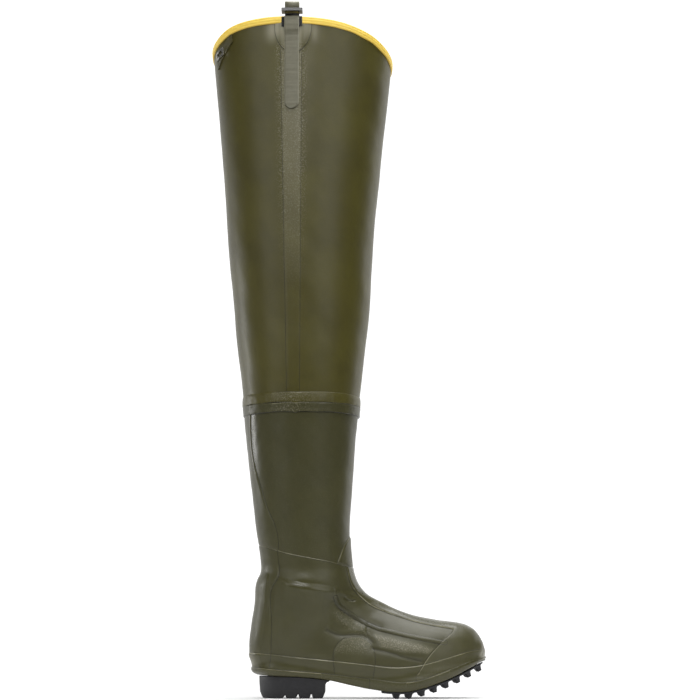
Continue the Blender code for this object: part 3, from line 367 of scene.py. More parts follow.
LAYERS = {
    "toe_cap": np.vstack([drawn(CAP_EDGE), [(150, -20), (300, -20), (300, 140)]]),
    "foxing": np.vstack([drawn(FOXING_TOP), [(300, 62.0), (300, -40), (-90, -40), (-90, 57.2)]]),
    "counter": np.vstack([drawn(COUNTER_EDGE), [(-27, -40), (-110, -40), (-110, 220)]]),
    "heel_strip": np.vstack([drawn(HEEL_STRIP_EDGE), [(-39, -40), (-110, -40), (-110, 172)]]),
    "stay": np.vstack([drawn(STAY_EDGE), [(230, 84), (230, 150), (100, 240), (66, 240)]]),
    "side_patch": drawn(SIDE_PATCH),
}
THICKNESSES = {"toe_cap": 1.8, "foxing": 2.1, "counter": 1.4, "stay": 1.6, "side_patch": 1.3, "rib": 1.7}
EDGE_REACH = 8.0


def to_edge(distance):
    """A distance to an edge, positive inside it, cut off where the edge no longer shows."""
    return np.clip(distance, -EDGE_REACH, EDGE_REACH)


def foot_relief(points):
    """Height of the layers over the bare form, and how far each point lies inside the layers' edges."""
    x, _, z = points.T
    seen = points[:, [0, 2]]
    inside = {name: inside_distance(seen, outline) for name, outline in LAYERS.items()}
    inside["rib"] = RIB_WIDTH / 2 - line_distance(seen, drawn(VAMP_RIB))
    # The cuff is rolled on in a slow rise under the seam, and the bend below it leaves a shelf over the heel
    relief = 0.6 * soft_step(z - line_height(ANKLE_SEAM, x) + 14.0, 18.0)
    below = line_height(ANKLE_STEP, x) - z
    shelf = soft_step(below - 1.5, 10.0) * np.exp(-np.clip(below, 0, 60) / 18.0)
    shelf *= soft_step(x + 12.0, 18.0) * soft_step(56.0 - x, 22.0)
    for name, thickness in THICKNESSES.items():
        relief = np.maximum(relief, thickness * soft_step(inside[name] - 0.4, 1.8))
    relief += 3.2 * shelf
    relief += 1.0 * soft_step(inside["heel_strip"], 1.8) * soft_step(HEEL_STRIP_TOP - z, 9.0)
    clear = soft_step(-inside["foxing"] - 1.0, 3.0) * soft_step(-inside["toe_cap"] - 0.5, 2.0)
    # How deep each narrow trough is; the material paints it darker there as painted shade
    hollow = np.zeros(len(points))
    for name, path, width, height in CREASES:
        swell = np.exp(-(line_distance(seen, drawn(path)) / width) ** 2)
        swell *= 1.0 if name == "toe nose" else clear
        relief += height * swell
        if width < 5.0:
            hollow = np.maximum(hollow, np.clip(-height, 0, 1) * swell**3)
    relief += 0.22 * hand_laid(points, 34.0, 3) + 0.10 * hand_laid(points, 13.0, 4)
    edges = {
        "edge_a": inside["foxing"],
        "edge_b": np.maximum(inside["toe_cap"], inside["stay"]),
        "edge_c": np.maximum.reduce([
            inside["counter"], inside["side_patch"], np.minimum(inside["heel_strip"], HEEL_STRIP_TOP - z),
        ]),
        "edge_d": inside["rib"],
    }
    return relief, {name: to_edge(distance) for name, distance in edges.items()}, inside, hollow


# Underside of the rand, and its outline on the floor as (x, outer y, inner y)
SOLE_UNDER = (
    (-60.0, 28.8), (-39.0, 28.3), (43.0, 22.9), (97.0, 11.6), (127.0, 8.2), (147.0, 8.8),
    (160.0, 11.3), (181.0, 17.6), (203.0, 26.1), (224.0, 36.3), (240.0, 44.6), (250.0, 50.0),
)
SOLE_OUTLINE = np.array((
    (-54.5, 0.0, 0.0), (-52.5, -11.5, 11.5), (-47.0, -22.0, 22.0), (-38.0, -31.0, 30.5),
    (-25.0, -37.0, 36.5), (0.0, -39.8, 38.5), (25.0, -39.8, 36.8), (50.0, -40.3, 35.0),
    (75.0, -43.0, 35.5), (100.0, -47.5, 39.0), (125.0, -52.5, 46.5), (150.0, -55.0, 53.5),
    (172.0, -52.5, 56.0), (192.0, -46.5, 53.5), (211.0, -37.5, 47.5), (226.0, -27.5, 39.0),
    (237.0, -16.0, 29.5), (244.0, -3.5, 18.0), (246.3, 7.5, 7.5),
))
SOLE_BACK, SOLE_FRONT = -54.3, 246.1


def sole_edges(x):
    """The sole's outer and inner edge at x, from a closed smooth curve through the outline."""
    loop = np.vstack([SOLE_OUTLINE[:, :2], SOLE_OUTLINE[-2:0:-1, [0, 2]]])
    loop = np.vstack([loop[-3:], loop, loop[:4]])
    length = np.concatenate([[0.0], np.cumsum(np.linalg.norm(np.diff(loop, axis=0), axis=1))])
    count = len(SOLE_OUTLINE)
    outer = smooth(np.linspace(length[3], length[2 + count], 900), length, loop)
    inner = smooth(np.linspace(length[2 + count], length[1 + 2 * count], 900), length, loop)
    return np.interp(x, outer[:, 0], outer[:, 1]), np.interp(x, inner[::-1, 0], inner[::-1, 1])


def sole_loop(stations, inset):
    """A closed loop of (x, y) round the sole, drawn in by an inset: forward outside, then back inside."""
    x = SOLE_BACK + (SOLE_FRONT - SOLE_BACK) * (1 - np.cos(np.linspace(0, 1, stations) * math.pi)) / 2
    outer, inner = sole_edges(x)
    loop = np.vstack([np.column_stack([x, outer]), np.column_stack([x, inner])[::-1]])
    way = np.roll(loop, -1, axis=0) - np.roll(loop, 1, axis=0)
    normal = np.column_stack([way[:, 1], -way[:, 0]])
    normal /= np.maximum(np.linalg.norm(way, axis=1), 1e-6)[:, None]
    return loop - normal * np.broadcast_to(inset, len(loop))[:, None]


def heel_draw(x):
    """How far the sole's outline is drawn in round the back of the heel."""
    return 2.0 * soft_step(-38.0 - x, 22.0)


def flared(points):
    """The foxing's foot, spread outwards to meet the rand's edge."""
    edge = sole_loop(400, 0.0)
    loop = sole_loop(400, heel_draw(edge[:, 0]) + 0.5)
    height = points[:, 2] - line_height(RAND_TOP, points[:, 0])
    share = soft_step(7.5 - height, 16.0)
    near = np.flatnonzero(share > 0)
    gaps = points[near, None, :2] - loop[None, ::4]
    nearest = loop[::4][np.argmin((gaps ** 2).sum(axis=-1), axis=1)]
    moved = points.copy()
    moved[near, :2] += (nearest - points[near, :2]) * share[near, None]
    return moved


def seam_places(columns, under):
    """Place up the leg, in each column, of a line this far under the ankle seam."""
    dense = np.linspace(ANKLE_PLACE, SHIN_PLACE, 60)
    ring = bare_point(dense[:, None], even_angles(dense, np.arange(columns) / columns))
    over = ring[..., 2] - line_height(ANKLE_SEAM, ring[..., 0]) + under
    first = np.argmax(over > 0, axis=0)
    low, high = over[first - 1, np.arange(columns)], over[first, np.arange(columns)]
    return dense[first - 1] + (dense[first] - dense[first - 1]) * low / (low - high)


# Rings square to the form up to the ankle, and from there on rings that turn step by step into the seam
columns = 330
shares = np.arange(columns) / columns
places = ring_places(PLACES[0], ANKLE_PLACE, 0.92)
rise = np.linspace(0, 1, 100)[1:]
top_places = ANKLE_PLACE + (seam_places(columns, 0.0) + 2.0 - ANKLE_PLACE)[None, :] * rise[:, None]
all_places = np.vstack([np.repeat(places[:, None], columns, axis=1), top_places])
all_angles = np.vstack([even_angles(places, shares), even_angles(top_places.mean(axis=1), shares)])
bare = bare_point(all_places, all_angles).reshape(-1, 3)
relief, edges, inside, hollow = foot_relief(bare)
to_seam = line_height(ANKLE_SEAM, bare[:, 0]) - bare[:, 2]
relief = relief * soft_step(to_seam - 0.2, 1.6) - 0.35 * soft_step(-to_seam, 1.6)
# The seam's edge mark gives a painted highlight on its lip and painted shade at its foot
edges["edge_a"] = np.maximum(edges["edge_a"], to_edge(0.9 - to_seam))
foot = flared(leg_point(all_places, all_angles, relief.reshape(all_places.shape)).reshape(-1, 3))

# The nose closes in three smaller rings and a point
shrinks = (0.75, 0.5, 0.25)
nose = [TOE_TIP + (foot[:columns] - TOE_TIP) * s + (1.2 * (1 - s * s), 0, 0) for s in shrinks]
points = np.vstack([foot, *nose, [TOE_TIP + (1.4, 0, 0)]])
rings = len(all_places)
faces = quads(rings, columns).tolist()
order = [0, *(rings + k for k in range(len(shrinks)))]
for near, far in zip(order[1:], order[:-1]):
    for c in range(columns):
        d = (c + 1) % columns
        faces.append((near * columns + c, far * columns + c, far * columns + d, near * columns + d))
for c in range(columns):
    faces.append((order[-1] * columns + c, order[-1] * columns + (c + 1) % columns, len(points) - 1))

# What lies this far under the rand's top is out of sight behind the rand, and is left out
HIDDEN_DEPTH = 4.5
under = points[:, 2] < line_height(RAND_TOP, points[:, 0]) - HIDDEN_DEPTH
faces = [f for f in faces if not all(under[list(f)])]

# Where the grain shows, where the skin is paler, and where it was pressed smooth
seen = bare[:, [0, 2]]
vamp = inside_distance(seen, np.array((
    (104.0, 79.0), (128.0, 74.0), (160.0, 67.0), (178.0, 61.0), (171.0, 56.0), (140.0, 58.0), (112.0, 64.0)
)))
patch_grain = soft_step(inside["side_patch"], 2.0) * soft_step(bare[:, 2] - 58.0, 14.0)
over_patch = soft_step(8.0 - line_distance(seen, drawn(((60, 104), (78, 90), (90, 80)))), 8.0)
grain = np.maximum.reduce([0.8 * soft_step(vamp, 5.0), 0.6 * patch_grain, 0.5 * over_patch])
# The nose of the toe is scuffed paler
scuff_and_sheen = np.exp(-((bare[:, 0] - 241.0) / 5.0) ** 2 - ((bare[:, 2] - 56.0) / 8.0) ** 2)
scuff_and_sheen *= np.clip(0.45 + 0.5 * hand_laid(bare, 9.0, 71), 0, 1)
# Painted highlight: the vamp, the side patch and the toe cap are painted a little paler, for the light they
# catch
scuff_and_sheen += 0.2 * soft_step(vamp, 8.0) + 0.08 * patch_grain + 0.05 * soft_step(inside["toe_cap"], 6.0)
# The back of the heel, above the lip, is made paler
scuff_and_sheen += 0.4 * np.exp(-((bare[:, 0] + 52.0) / 6.0) ** 2 - ((bare[:, 2] - 46.0) / 9.0) ** 2)
polish = 0.9 * soft_step(inside["stay"] - 1.0, 3.0)
shelf_top = line_distance(seen, drawn(((-2.0, 143.0), (18.0, 139.5), (34.0, 137.5))))
polish += 0.8 * np.exp(-(shelf_top / 8.0) ** 2)
polish += 0.5 * soft_step(inside["foxing"], 4.0)
marks = {**edges, "grain": grain, "polish": np.clip(polish, 0, 1), "hollow": hollow, "scuff_and_sheen": scuff_and_sheen}
extra = len(points) - len(foot)
marks = {name: np.concatenate([values, np.full(extra, values[0])]) for name, values in marks.items()}

# Olive rubber: natural rubber sheet, calendered, laid up by hand and cured under pressure. Its skin is satin,
# with a faint orange peel, a fine grain where fabric lies close under it, and a lip at each layer's edge.


def clouded(name, dark, light, size, detail, roughness=0.5):
    """A new material whose colour drifts between two tones, in clouds of this many millimetres."""
    made = bpy.data.materials.new(name)
    made.use_nodes = True
    tree = made.node_tree
    where = node(tree, "ShaderNodeTexCoord").outputs["Object"]
    cloud = node(tree, "ShaderNodeTexNoise", Vector=where, Scale=1 / (size * MM),
                 Detail=detail, Roughness=roughness)
    colour = node(tree, "ShaderNodeMix", {"data_type": "RGBA"}, in_0=cloud.outputs[0],
                  in_6=linear(dark), in_7=linear(light))
    shader = tree.nodes["Principled BSDF"]
    tree.links.new(colour.outputs[2], shader.inputs["Base Color"])
    return made, tree, shader, where, cloud.outputs[0], colour


def olive_rubber(name, dark, light):
    made, tree, shader, where, cloud, colour = clouded(name, dark, light, 45.45, 4.0, 0.55)
    tint = node(tree, "ShaderNodeMapRange", Value=cloud, From_Min=0.35, From_Max=0.65)
    tree.links.new(tint.outputs[0], colour.inputs[0])
    peel = node(tree, "ShaderNodeTexNoise", Vector=where, Scale=1 / (4.348 * MM), Detail=2.0, Roughness=0.5)
    # The real grain is 0.5 mm across, too fine to show from here, and is drawn at about 1.6 mm
    grit = node(tree, "ShaderNodeTexNoise", Vector=where, Scale=1 / (1.613 * MM), Detail=2.0, Roughness=0.6)
    grain, scuff_and_sheen, polish, hollow = (
        node(tree, "ShaderNodeAttribute", {"attribute_name": mark}).outputs["Fac"]
        for mark in ("grain", "scuff_and_sheen", "polish", "hollow")
    )
    # Where the grain stands up its crests are painted paler, partly as wear and partly as painted glints, and
    # the marked pale places are added on
    crest = node(tree, "ShaderNodeMapRange", Value=grit.outputs[0], From_Min=0.49, From_Max=0.66)
    wear_and_glints = node(tree, "ShaderNodeMath", {"operation": "MULTIPLY"}, in_0=crest.outputs[0], in_1=grain)
    wear_and_glints = node(tree, "ShaderNodeMath", {"operation": "MULTIPLY_ADD"}, in_0=wear_and_glints.outputs[0],
                  in_1=0.5, in_2=scuff_and_sheen)
    final = node(tree, "ShaderNodeMix", {"data_type": "RGBA"}, in_0=wear_and_glints.outputs[0],
                 in_6=colour.outputs[2], in_7=linear("#97937C"))
    strength = node(tree, "ShaderNodeMapRange", Value=grain, To_Min=0.05, To_Max=0.9)
    fine = node(tree, "ShaderNodeBump", Strength=strength.outputs[0], Distance=0.4 * MM,
                Height=grit.outputs[0])
    # Polished places were pressed smooth and have less peel
    pressed = node(tree, "ShaderNodeMapRange", Value=polish, To_Min=0.22, To_Max=0.04)
    normal = node(tree, "ShaderNodeBump", Strength=pressed.outputs[0], Distance=0.4 * MM,
                  Height=peel.outputs[0], Normal=fine.outputs[0]).outputs[0]
    # Narrow creases are painted darker: painted shade
    crease_shade = node(tree, "ShaderNodeMath", {"operation": "MULTIPLY"}, in_0=hollow, in_1=0.45)
    final = node(tree, "ShaderNodeMix", {"data_type": "RGBA"}, in_0=crease_shade.outputs[0],
                 in_6=final.outputs[2], in_7=linear("#201F11"))
    # Each laid edge has a rounded lip, painted shade in the groove at its foot, and on some a painted
    # highlight on the lip.
    # The ramps run from 2 mm outside the edge to 2 mm inside it.
    for mark, paleness, darkness in (
        ("edge_a", 0.75, 0.5), ("edge_b", 0.6, 0.75), ("edge_c", 0.0, 0.8), ("edge_d", 0.0, 0.8),
    ):
        distance = node(tree, "ShaderNodeAttribute", {"attribute_name": mark}).outputs["Fac"]
        across = node(tree, "ShaderNodeMapRange", Value=distance, From_Min=-2.0, From_Max=2.0).outputs[0]
        profiles = [
            ((0, 0.45), (0.34, 0.45), (0.42, 0.12), (0.50, 0.85), (0.60, 1.0), (0.80, 0.72), (1, 0.7)),
            ((0, 0), (0.26, 0), (0.41, darkness), (0.52, 0), (1, 0)),
        ]
        if paleness:
            profiles.append(((0, 0), (0.50, 0), (0.60, paleness), (0.78, 0), (1, 0)))
        greys = []
        for stops in profiles:
            ramp = node(tree, "ShaderNodeValToRGB", Fac=across)
            ramp.color_ramp.interpolation = "EASE"
            for place, _ in stops[1:-1]:
                ramp.color_ramp.elements.new(place)
            for element, (_, value) in zip(ramp.color_ramp.elements, stops):
                element.color = (value, value, value, 1)
            greys.append(ramp.outputs[0])
        lip, groove, *crown = greys
        normal = node(tree, "ShaderNodeBump", Strength=0.8, Distance=0.4 * MM,
                      Height=lip, Normal=normal).outputs[0]
        final = node(tree, "ShaderNodeMix", {"data_type": "RGBA"}, in_0=groove,
                     in_6=final.outputs[2], in_7=linear("#1C1B10"))
        if crown:
            lip_glint = node(tree, "ShaderNodeMapRange", Value=cloud, From_Min=0.42, From_Max=0.58,
                        To_Min=0.15, To_Max=1.0)
            lip_glint = node(tree, "ShaderNodeMath", {"operation": "MULTIPLY"},
                        in_0=crown[0], in_1=lip_glint.outputs[0])
            final = node(tree, "ShaderNodeMix", {"data_type": "RGBA"}, in_0=lip_glint.outputs[0],
                         in_6=final.outputs[2], in_7=linear("#A7A283"))
    matt = node(tree, "ShaderNodeMapRange", Value=peel.outputs[0], To_Min=0.38, To_Max=0.50)
    rough = node(tree, "ShaderNodeMath", {"operation": "MULTIPLY_ADD"}, in_0=polish,
                 in_1=-0.17, in_2=matt.outputs[0])
    tree.links.new(final.outputs[2], shader.inputs["Base Color"])
    tree.links.new(rough.outputs[0], shader.inputs["Roughness"])
    tree.links.new(normal, shader.inputs["Normal"])
    shader.inputs["IOR"].default_value = 1.52
    shader.inputs["Specular IOR Level"].default_value = 0.45
    shader.inputs["Coat Weight"].default_value = 0.05
    shader.inputs["Coat Roughness"].default_value = 0.2
    return made


laid_rubber = olive_rubber("laid_olive_rubber", "#3F3D20", "#454324")
foot_skin = piece("foot_skin", points, faces, laid_rubber, marks)
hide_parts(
    "upper", "foxing", "toe_cap", "front_stay", "vamp_rib_outer", "vamp_rib_inner",
    "side_patch_outer", "side_patch_inner", "heel_counter", "heel_strip",
    "ankle_cuff_outer", "ankle_cuff_inner",
)

# Lower leg: a tube of the same rubber from under the foot's layers to the knee, with a long strip up its
# back and a small gusset at the front of the ankle, both rolled down before curing.

GUSSET_EDGE = (
    (80.0, 216.0), (75.5, 208.0), (67.9, 196.0), (63.0, 186.0), (60.0, 177.6), (56.7, 168.0), (55.0, 160.0),
)
BACK_STRIP_EDGE = (
    (-54.0, 380.0), (-53.8, 358.5), (-53.7, 337.0), (-52.1, 314.0), (-47.5, 291.0), (-40.6, 266.0),
    (-30.5, 235.0), (-22.3, 216.0), (-18.1, 198.0), (-18.0, 178.0), (-18.0, 160.0),
)
BAND_FOOT, LOWER_BAND_WIDTH, UPPER_BAND_WIDTH = 358.5, 12.5, 12.7
KNEE_HEIGHT = BAND_FOOT + LOWER_BAND_WIDTH / 2


def place_at(height):
    """Place up the leg of the level section at this height."""
    dense = np.linspace(CUFF_PLACE, PLACES[-1], 400)
    heights = smooth(dense, PLACES, SECTIONS[:, [1, 3]]).mean(axis=1)
    return np.interp(height, heights, dense)


def no_edge(points):
    return np.full(len(points), -EDGE_REACH)


columns = 280
shares = np.arange(columns) / columns
foot_place = seam_places(columns, 6.0)
knee_place = float(place_at(KNEE_HEIGHT + 2.0))
rise = np.linspace(0, 1, 150)
leg_places = foot_place[None, :] + (knee_place - foot_place)[None, :] * rise[:, None]
leg_angles = even_angles(leg_places.mean(axis=1), shares)
bare = bare_point(leg_places, leg_angles).reshape(-1, 3)
seen = bare[:, [0, 2]]
gusset = inside_distance(seen, np.vstack([drawn(GUSSET_EDGE), [(140, 160), (140, 216)]]))
back_strip = inside_distance(seen, np.vstack([drawn(BACK_STRIP_EDGE), [(-120, 160), (-120, 380)]]))
# Under the foot's edge the gusset ends and the strip runs on thinner
above = soft_step(bare[:, 2] - line_height(ANKLE_SEAM, bare[:, 0]) - 0.5, 4.0)
relief = 1.3 * soft_step(gusset - 0.4, 1.8) * above
relief += 1.2 * soft_step(back_strip - 0.4, 2.0) * (0.4 + 0.6 * above)
relief += 0.35 * hand_laid(bare, 60.0, 11) + 0.12 * hand_laid(bare, 22.0, 12)
leg = leg_point(leg_places, leg_angles, relief.reshape(leg_places.shape)).reshape(-1, 3)
marks = {
    "edge_a": to_edge(gusset), "edge_b": no_edge(bare),
    "edge_c": to_edge(back_strip), "edge_d": no_edge(bare),
    "grain": np.full(len(bare), 0.05), "scuff_and_sheen": np.zeros(len(bare)),
    "polish": np.exp(-((bare[:, 0] + 50.0) / 9.0) ** 2) * soft_step(bare[:, 2] - 290.0, 60.0),
}
leg_skin = piece("leg_skin", leg, quads(len(leg_places), columns), laid_rubber, marks)
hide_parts("back_strip", "front_gusset")

# Thigh shaft: cotton fabric coated with the same rubber, closed by a seam on the outer side. A tape wider
# towards the top covers the seam, and a half-round patch lies over the tape's top under the strap.

TRIM_THICKNESS, TRIM_HEIGHT = 1.4, 9.5
STRAP_MIDDLE, STRAP_WIDTH, STRAP_THICKNESS, STRAP_LENGTH = -2.3, 18.7, 1.6, 122.6
SHAFT_WALL = 2.0
PATCH_DEPTH, PATCH_HALF_WIDTH, PATCH_MIDDLE = 37.0, 24.0, -0.9
# Height of the rim at each angle round the leg, in degrees from the front over the outer side
COLLAR_RIM = (
    (0.0, 832.6), (22.0, 844.0), (45.0, 858.5), (68.0, 868.5), (90.0, 872.3), (115.0, 873.0),
    (140.0, 868.0), (160.0, 857.5), (180.0, 848.0), (215.0, 836.0), (270.0, 829.0), (320.0, 828.0),
    (360.0, 832.6),
)


def rim_height(angle):
    """Height of the collar's rim round the leg."""
    rows = np.array(COLLAR_RIM)
    rows = np.concatenate([rows[-3:-1] - (360, 0), rows, rows[1:3] + (360, 0)])
    return smooth(np.degrees(np.asarray(angle)) % 360, rows[:, 0], rows[:, 1])


collar_height = float(rim_height(math.pi / 2))
patch_top = collar_height - TRIM_HEIGHT - GAP - 1.0
patch_foot = patch_top - PATCH_DEPTH
tape_foot = BAND_FOOT + 25.5
columns = 330
angles = np.arange(columns) * 2 * math.pi / columns
rim_place = place_at(rim_height(angles) - TRIM_THICKNESS - GAP)
rise = np.linspace(0, 1, 240)
thigh_places = knee_place + (rim_place - knee_place)[None, :] * rise[:, None]
thigh_angles = np.repeat(angles[None, :], len(rise), axis=0)
bare = bare_point(thigh_places, thigh_angles).reshape(-1, 3)
x, y, z = bare.T
outer = y < 0
tape_share = (z - tape_foot) / (patch_foot - tape_foot)
tape_half = 7.85 + 5.4 * tape_share
tape_middle = 0.8 - 4.0 * tape_share
tape = np.where(outer, tape_half - np.abs(x - tape_middle), -EDGE_REACH)
from_middle = np.hypot((x - PATCH_MIDDLE) / PATCH_HALF_WIDTH, (patch_top - z) / PATCH_DEPTH)
patch = np.where(outer, 27.0 * (1 - from_middle), -EDGE_REACH)
over_band = soft_step(z - BAND_FOOT - LOWER_BAND_WIDTH - UPPER_BAND_WIDTH - 3.0, 3.0)
relief = 0.8 * soft_step(tape - 0.3, 2.2) * over_band + 0.8 * soft_step(patch - 0.3, 2.2)
relief += 0.5 * hand_laid(bare, 95.0, 21) + 0.12 * hand_laid(bare, 30.0, 22)
# The strap pulls the shaft outwards, so it dips a little to either side of the patch, below the binding
beside = np.exp(-((np.abs(x - PATCH_MIDDLE) - 33.0) / 15.0) ** 2) * outer
pulled = beside * soft_step(z - collar_height + 26.0, 34.0)
relief -= 0.9 * pulled * (1 - soft_step(patch, 6.0))
thigh = leg_point(thigh_places, thigh_angles, relief.reshape(thigh_places.shape)).reshape(-1, 3)
# Grain along the tape's edges and its upper part; the material paints its crests paler, partly as painted
# glints
edge_of_tape = np.exp(-((tape + 2.0) / 5.0) ** 2) * soft_step(z - 620.0, 260.0)
grain = 0.03 + 0.95 * edge_of_tape + 0.45 * soft_step(tape, 5.0) * soft_step(z - 560.0, 240.0)
grain *= soft_step(collar_height - 36.0 - z, 14.0)
# Beside the strap's end and over the patch the coating is painted pale grey: a painted highlight
left_of, right_of = (np.exp(-((x - at) / wide) ** 2) for at, wide in ((-28.0, 8.0), (27.0, 5.0)))
patch_highlight = (left_of + 0.6 * right_of + 0.5 * soft_step(patch, 3.0)) * outer
patch_highlight *= soft_step(z - collar_height + 28.0, 26.0)
# Close to the patch its edge takes the place of the tape's, so that the two lines don't cross
marks = {
    "edge_a": no_edge(bare), "edge_b": no_edge(bare), "edge_c": to_edge(patch),
    "edge_d": to_edge(np.where(patch > -2.2, patch, tape)),
    "grain": np.clip(grain, 0, 1),
    # The tape's upper part and the places beside the strap's end are painted paler: painted highlights
    "scuff_and_sheen": 0.3 * soft_step(tape, 4.0) * soft_step(z - 600.0, 300.0) + 0.95 * patch_highlight,
    "polish": np.clip(0.8 * pulled, 0, 1),
}
coated_fabric = olive_rubber("rubber_coated_cotton", "#4A4518", "#524D1B")
thigh_skin = piece("thigh_skin", thigh, quads(len(rise), columns), coated_fabric, marks)
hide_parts("thigh_shaft", "side_seam_tape", "strap_patch")

# Lining: brushed cotton knit, bonded to the inside of the shaft and the boot from the toe to the rim.
# Only a little of it shows over the collar.

# Brushed cotton: matt and sandy, with faint rows of knit 1 mm apart and a soft sheen at the rim
WAVE_PITCH = 0.314  # a wave texture of scale 1 repeats after this many metres
cotton_lining, tree, shader, where, _, _ = clouded("brushed_cotton_lining", "#8A805F", "#A2976F", 16.67, 5.0)
rows = node(tree, "ShaderNodeTexWave", {"bands_direction": "Z"}, Vector=where,
            Scale=WAVE_PITCH / (0.981 * MM), Distortion=1.5, Detail=1.0)
knit = node(tree, "ShaderNodeBump", Strength=0.6, Distance=0.4 * MM, Height=rows.outputs[1])
tree.links.new(knit.outputs[0], shader.inputs["Normal"])
shader.inputs["Roughness"].default_value = 0.92
shader.inputs["Sheen Weight"].default_value = 0.3

columns = 140
angles = np.arange(columns) * 2 * math.pi / columns
rim_place = place_at(rim_height(angles) - TRIM_THICKNESS - GAP)
rise = np.linspace(0, 1, 130)
start = PLACES[4]  # inside the toe
lining_places = start + (rim_place - start)[None, :] * rise[:, None]
# The boot's wall is 0.7 mm thicker than the shaft's
into = -SHAFT_WALL - 0.7 * (1 - soft_step(lining_places - knee_place, 12.0))
lining = leg_point(lining_places, np.repeat(angles[None, :], len(rise), axis=0), into).reshape(-1, 3)
faces = quads(len(rise), columns)[:, ::-1]
under = lining[:, 2] < line_height(RAND_TOP, lining[:, 0]) - HIDDEN_DEPTH
faces = [f for f in faces if not all(under[f])]
piece("lining", lining, faces, cotton_lining)

# Insole: grey-tan needled felt, cut to the outline of the foot. It is dropped in and lies loose on the
# rubber under it.

# Needled felt: dead matt and a little hairy. Its fibres are drawn 1.1 mm apart so that they show.
needled_felt, tree, shader, _, fibres, _ = clouded("needled_felt", "#857D68", "#A69D86", 1.111, 6.0, 0.7)
fuzz = node(tree, "ShaderNodeBump", Strength=0.7, Distance=0.5 * MM, Height=fibres)
tree.links.new(fuzz.outputs[0], shader.inputs["Normal"])
shader.inputs["Roughness"].default_value = 0.95


def dress(name, material, rounding=0.0):
    """Gives a solid its material, and its edges this radius."""
    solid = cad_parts[name]
    solid.data.materials.clear()
    solid.data.materials.append(material)
    if rounding:
        edges = solid.modifiers.new("rounding", "BEVEL")
        edges.width, edges.segments = rounding * MM, 3


dress("insole", needled_felt)

# Rand: the thick olive slab under the foot, moulded round its edge and rolled under, level with the
# foxing above. Behind, it stands out over the heel block as a lip.


def lidded(rings, columns):
    """Faces of a lofted loop with a lid at each end that joins the loop's two sides."""
    faces = quads(rings, columns).tolist()
    for start, turned in ((0, False), ((rings - 1) * columns, True)):
        for k in range(columns // 2 - 1):
            lid = [start + k, start + k + 1, start + columns - 2 - k, start + columns - 1 - k]
            faces.append(lid[::-1] if turned else lid)
    return faces


stations = 300
rings = []
# Rows of inset, share of the way down, and how much more the back of the heel is drawn in
profile = (
    (14.0, 0.04, 0.0), (1.6, 0.02, 0.0), (0.5, 0.0, 0.0), (0.0, 0.04, 0.0), (-0.2, 0.10, 0.0),
    (-0.35, 0.18, 0.0), (-0.4, 0.28, 0.0), (-0.3, 0.40, 0.1), (0.0, 0.52, 0.5), (0.4, 0.64, 1.2),
    (0.9, 0.75, 2.2), (1.5, 0.85, 3.6), (2.2, 0.93, 5.2), (3.2, 0.98, 7.0), (5.0, 1.0, 9.0),
    (14.0, 1.0, 0.0),
)
edge = sole_loop(stations, 0.0)
top, bottom = line_height(RAND_TOP, edge[:, 0]), line_height(SOLE_UNDER, edge[:, 0])
heel_round = soft_step(-30.0 - edge[:, 0], 26.0)
for inset, share, rounder in profile:
    loop = sole_loop(stations, inset + heel_draw(edge[:, 0]) + rounder * heel_round)
    rings.append(np.column_stack([loop, top + (bottom - top) * share]))
points = np.concatenate(rings)
points[:, 2] += 0.15 * hand_laid(points, 40.0, 31)
faces = lidded(len(rings), 2 * stations)
x, y, z = points.T
below = to_edge(line_height(RAND_TOP, x) - z - 0.7)
# The lip under the foxing has a painted highlight along it at the heel and the ball, and a painted shade line
# at the waist. On the outer side the strip ends in a splice at the waist, drawn as a painted shade line.
highlit_lip = (x < 37.0) | (np.abs(x - 170.0) < 28.0)
shaded_lip = np.abs(x - 67.5) <= 30.5
marks = {
    "edge_a": np.where(highlit_lip, below, -EDGE_REACH), "edge_b": no_edge(points),
    "edge_c": to_edge(np.where(y < 0, x - 98.0, -EDGE_REACH)),
    "edge_d": np.where(shaded_lip, below, -EDGE_REACH),
    "grain": np.full(len(points), 0.1), "polish": np.full(len(points), 0.4),
    "scuff_and_sheen": 0.25 * np.exp(-((x - 245.0) / 6.0) ** 2),
}
rand = piece("rand", points, faces, laid_rubber, marks)
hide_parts("midsole")

# Forefoot plate and heel block: black rubber, compression moulded. The plate carries rows of tapered round
# studs with a small hollow in each tip, and the heel block has slots across its tread.

# Moulded black rubber: nearly black and half matt, a little uneven where dust clings
black_rubber, tree, shader, where, dust, _ = clouded(
    "moulded_black_rubber", "#121215", "#1B1B1F", 14.29, 5.0, 0.6
)
grit = node(tree, "ShaderNodeTexNoise", Vector=where, Scale=1 / (1.111 * MM), Detail=3.0)
rough = node(tree, "ShaderNodeMapRange", Value=dust, To_Min=0.42, To_Max=0.6)
bump = node(tree, "ShaderNodeBump", Strength=0.3, Distance=0.3 * MM, Height=grit.outputs[0])
tree.links.new(rough.outputs[0], shader.inputs["Roughness"])
tree.links.new(bump.outputs[0], shader.inputs["Normal"])
shader.inputs["IOR"].default_value = 1.52

PLATE_BACK, PLATE_INSET, PLATE_THICKNESS = 113.0, 4.0, 2.2
LUG_HEIGHT, LUG_BASE, LUG_TIP = 6.3, 9.6, 5.6
LUG_PITCH, LUG_ROWS, LUG_FIRST = 15.6, 8, 131.0


def plate_under(x):
    return line_height(SOLE_UNDER, x) - GAP - PLATE_THICKNESS


def plate_slope(x):
    return float(plate_under(x + 1) - plate_under(x - 1)) / 2


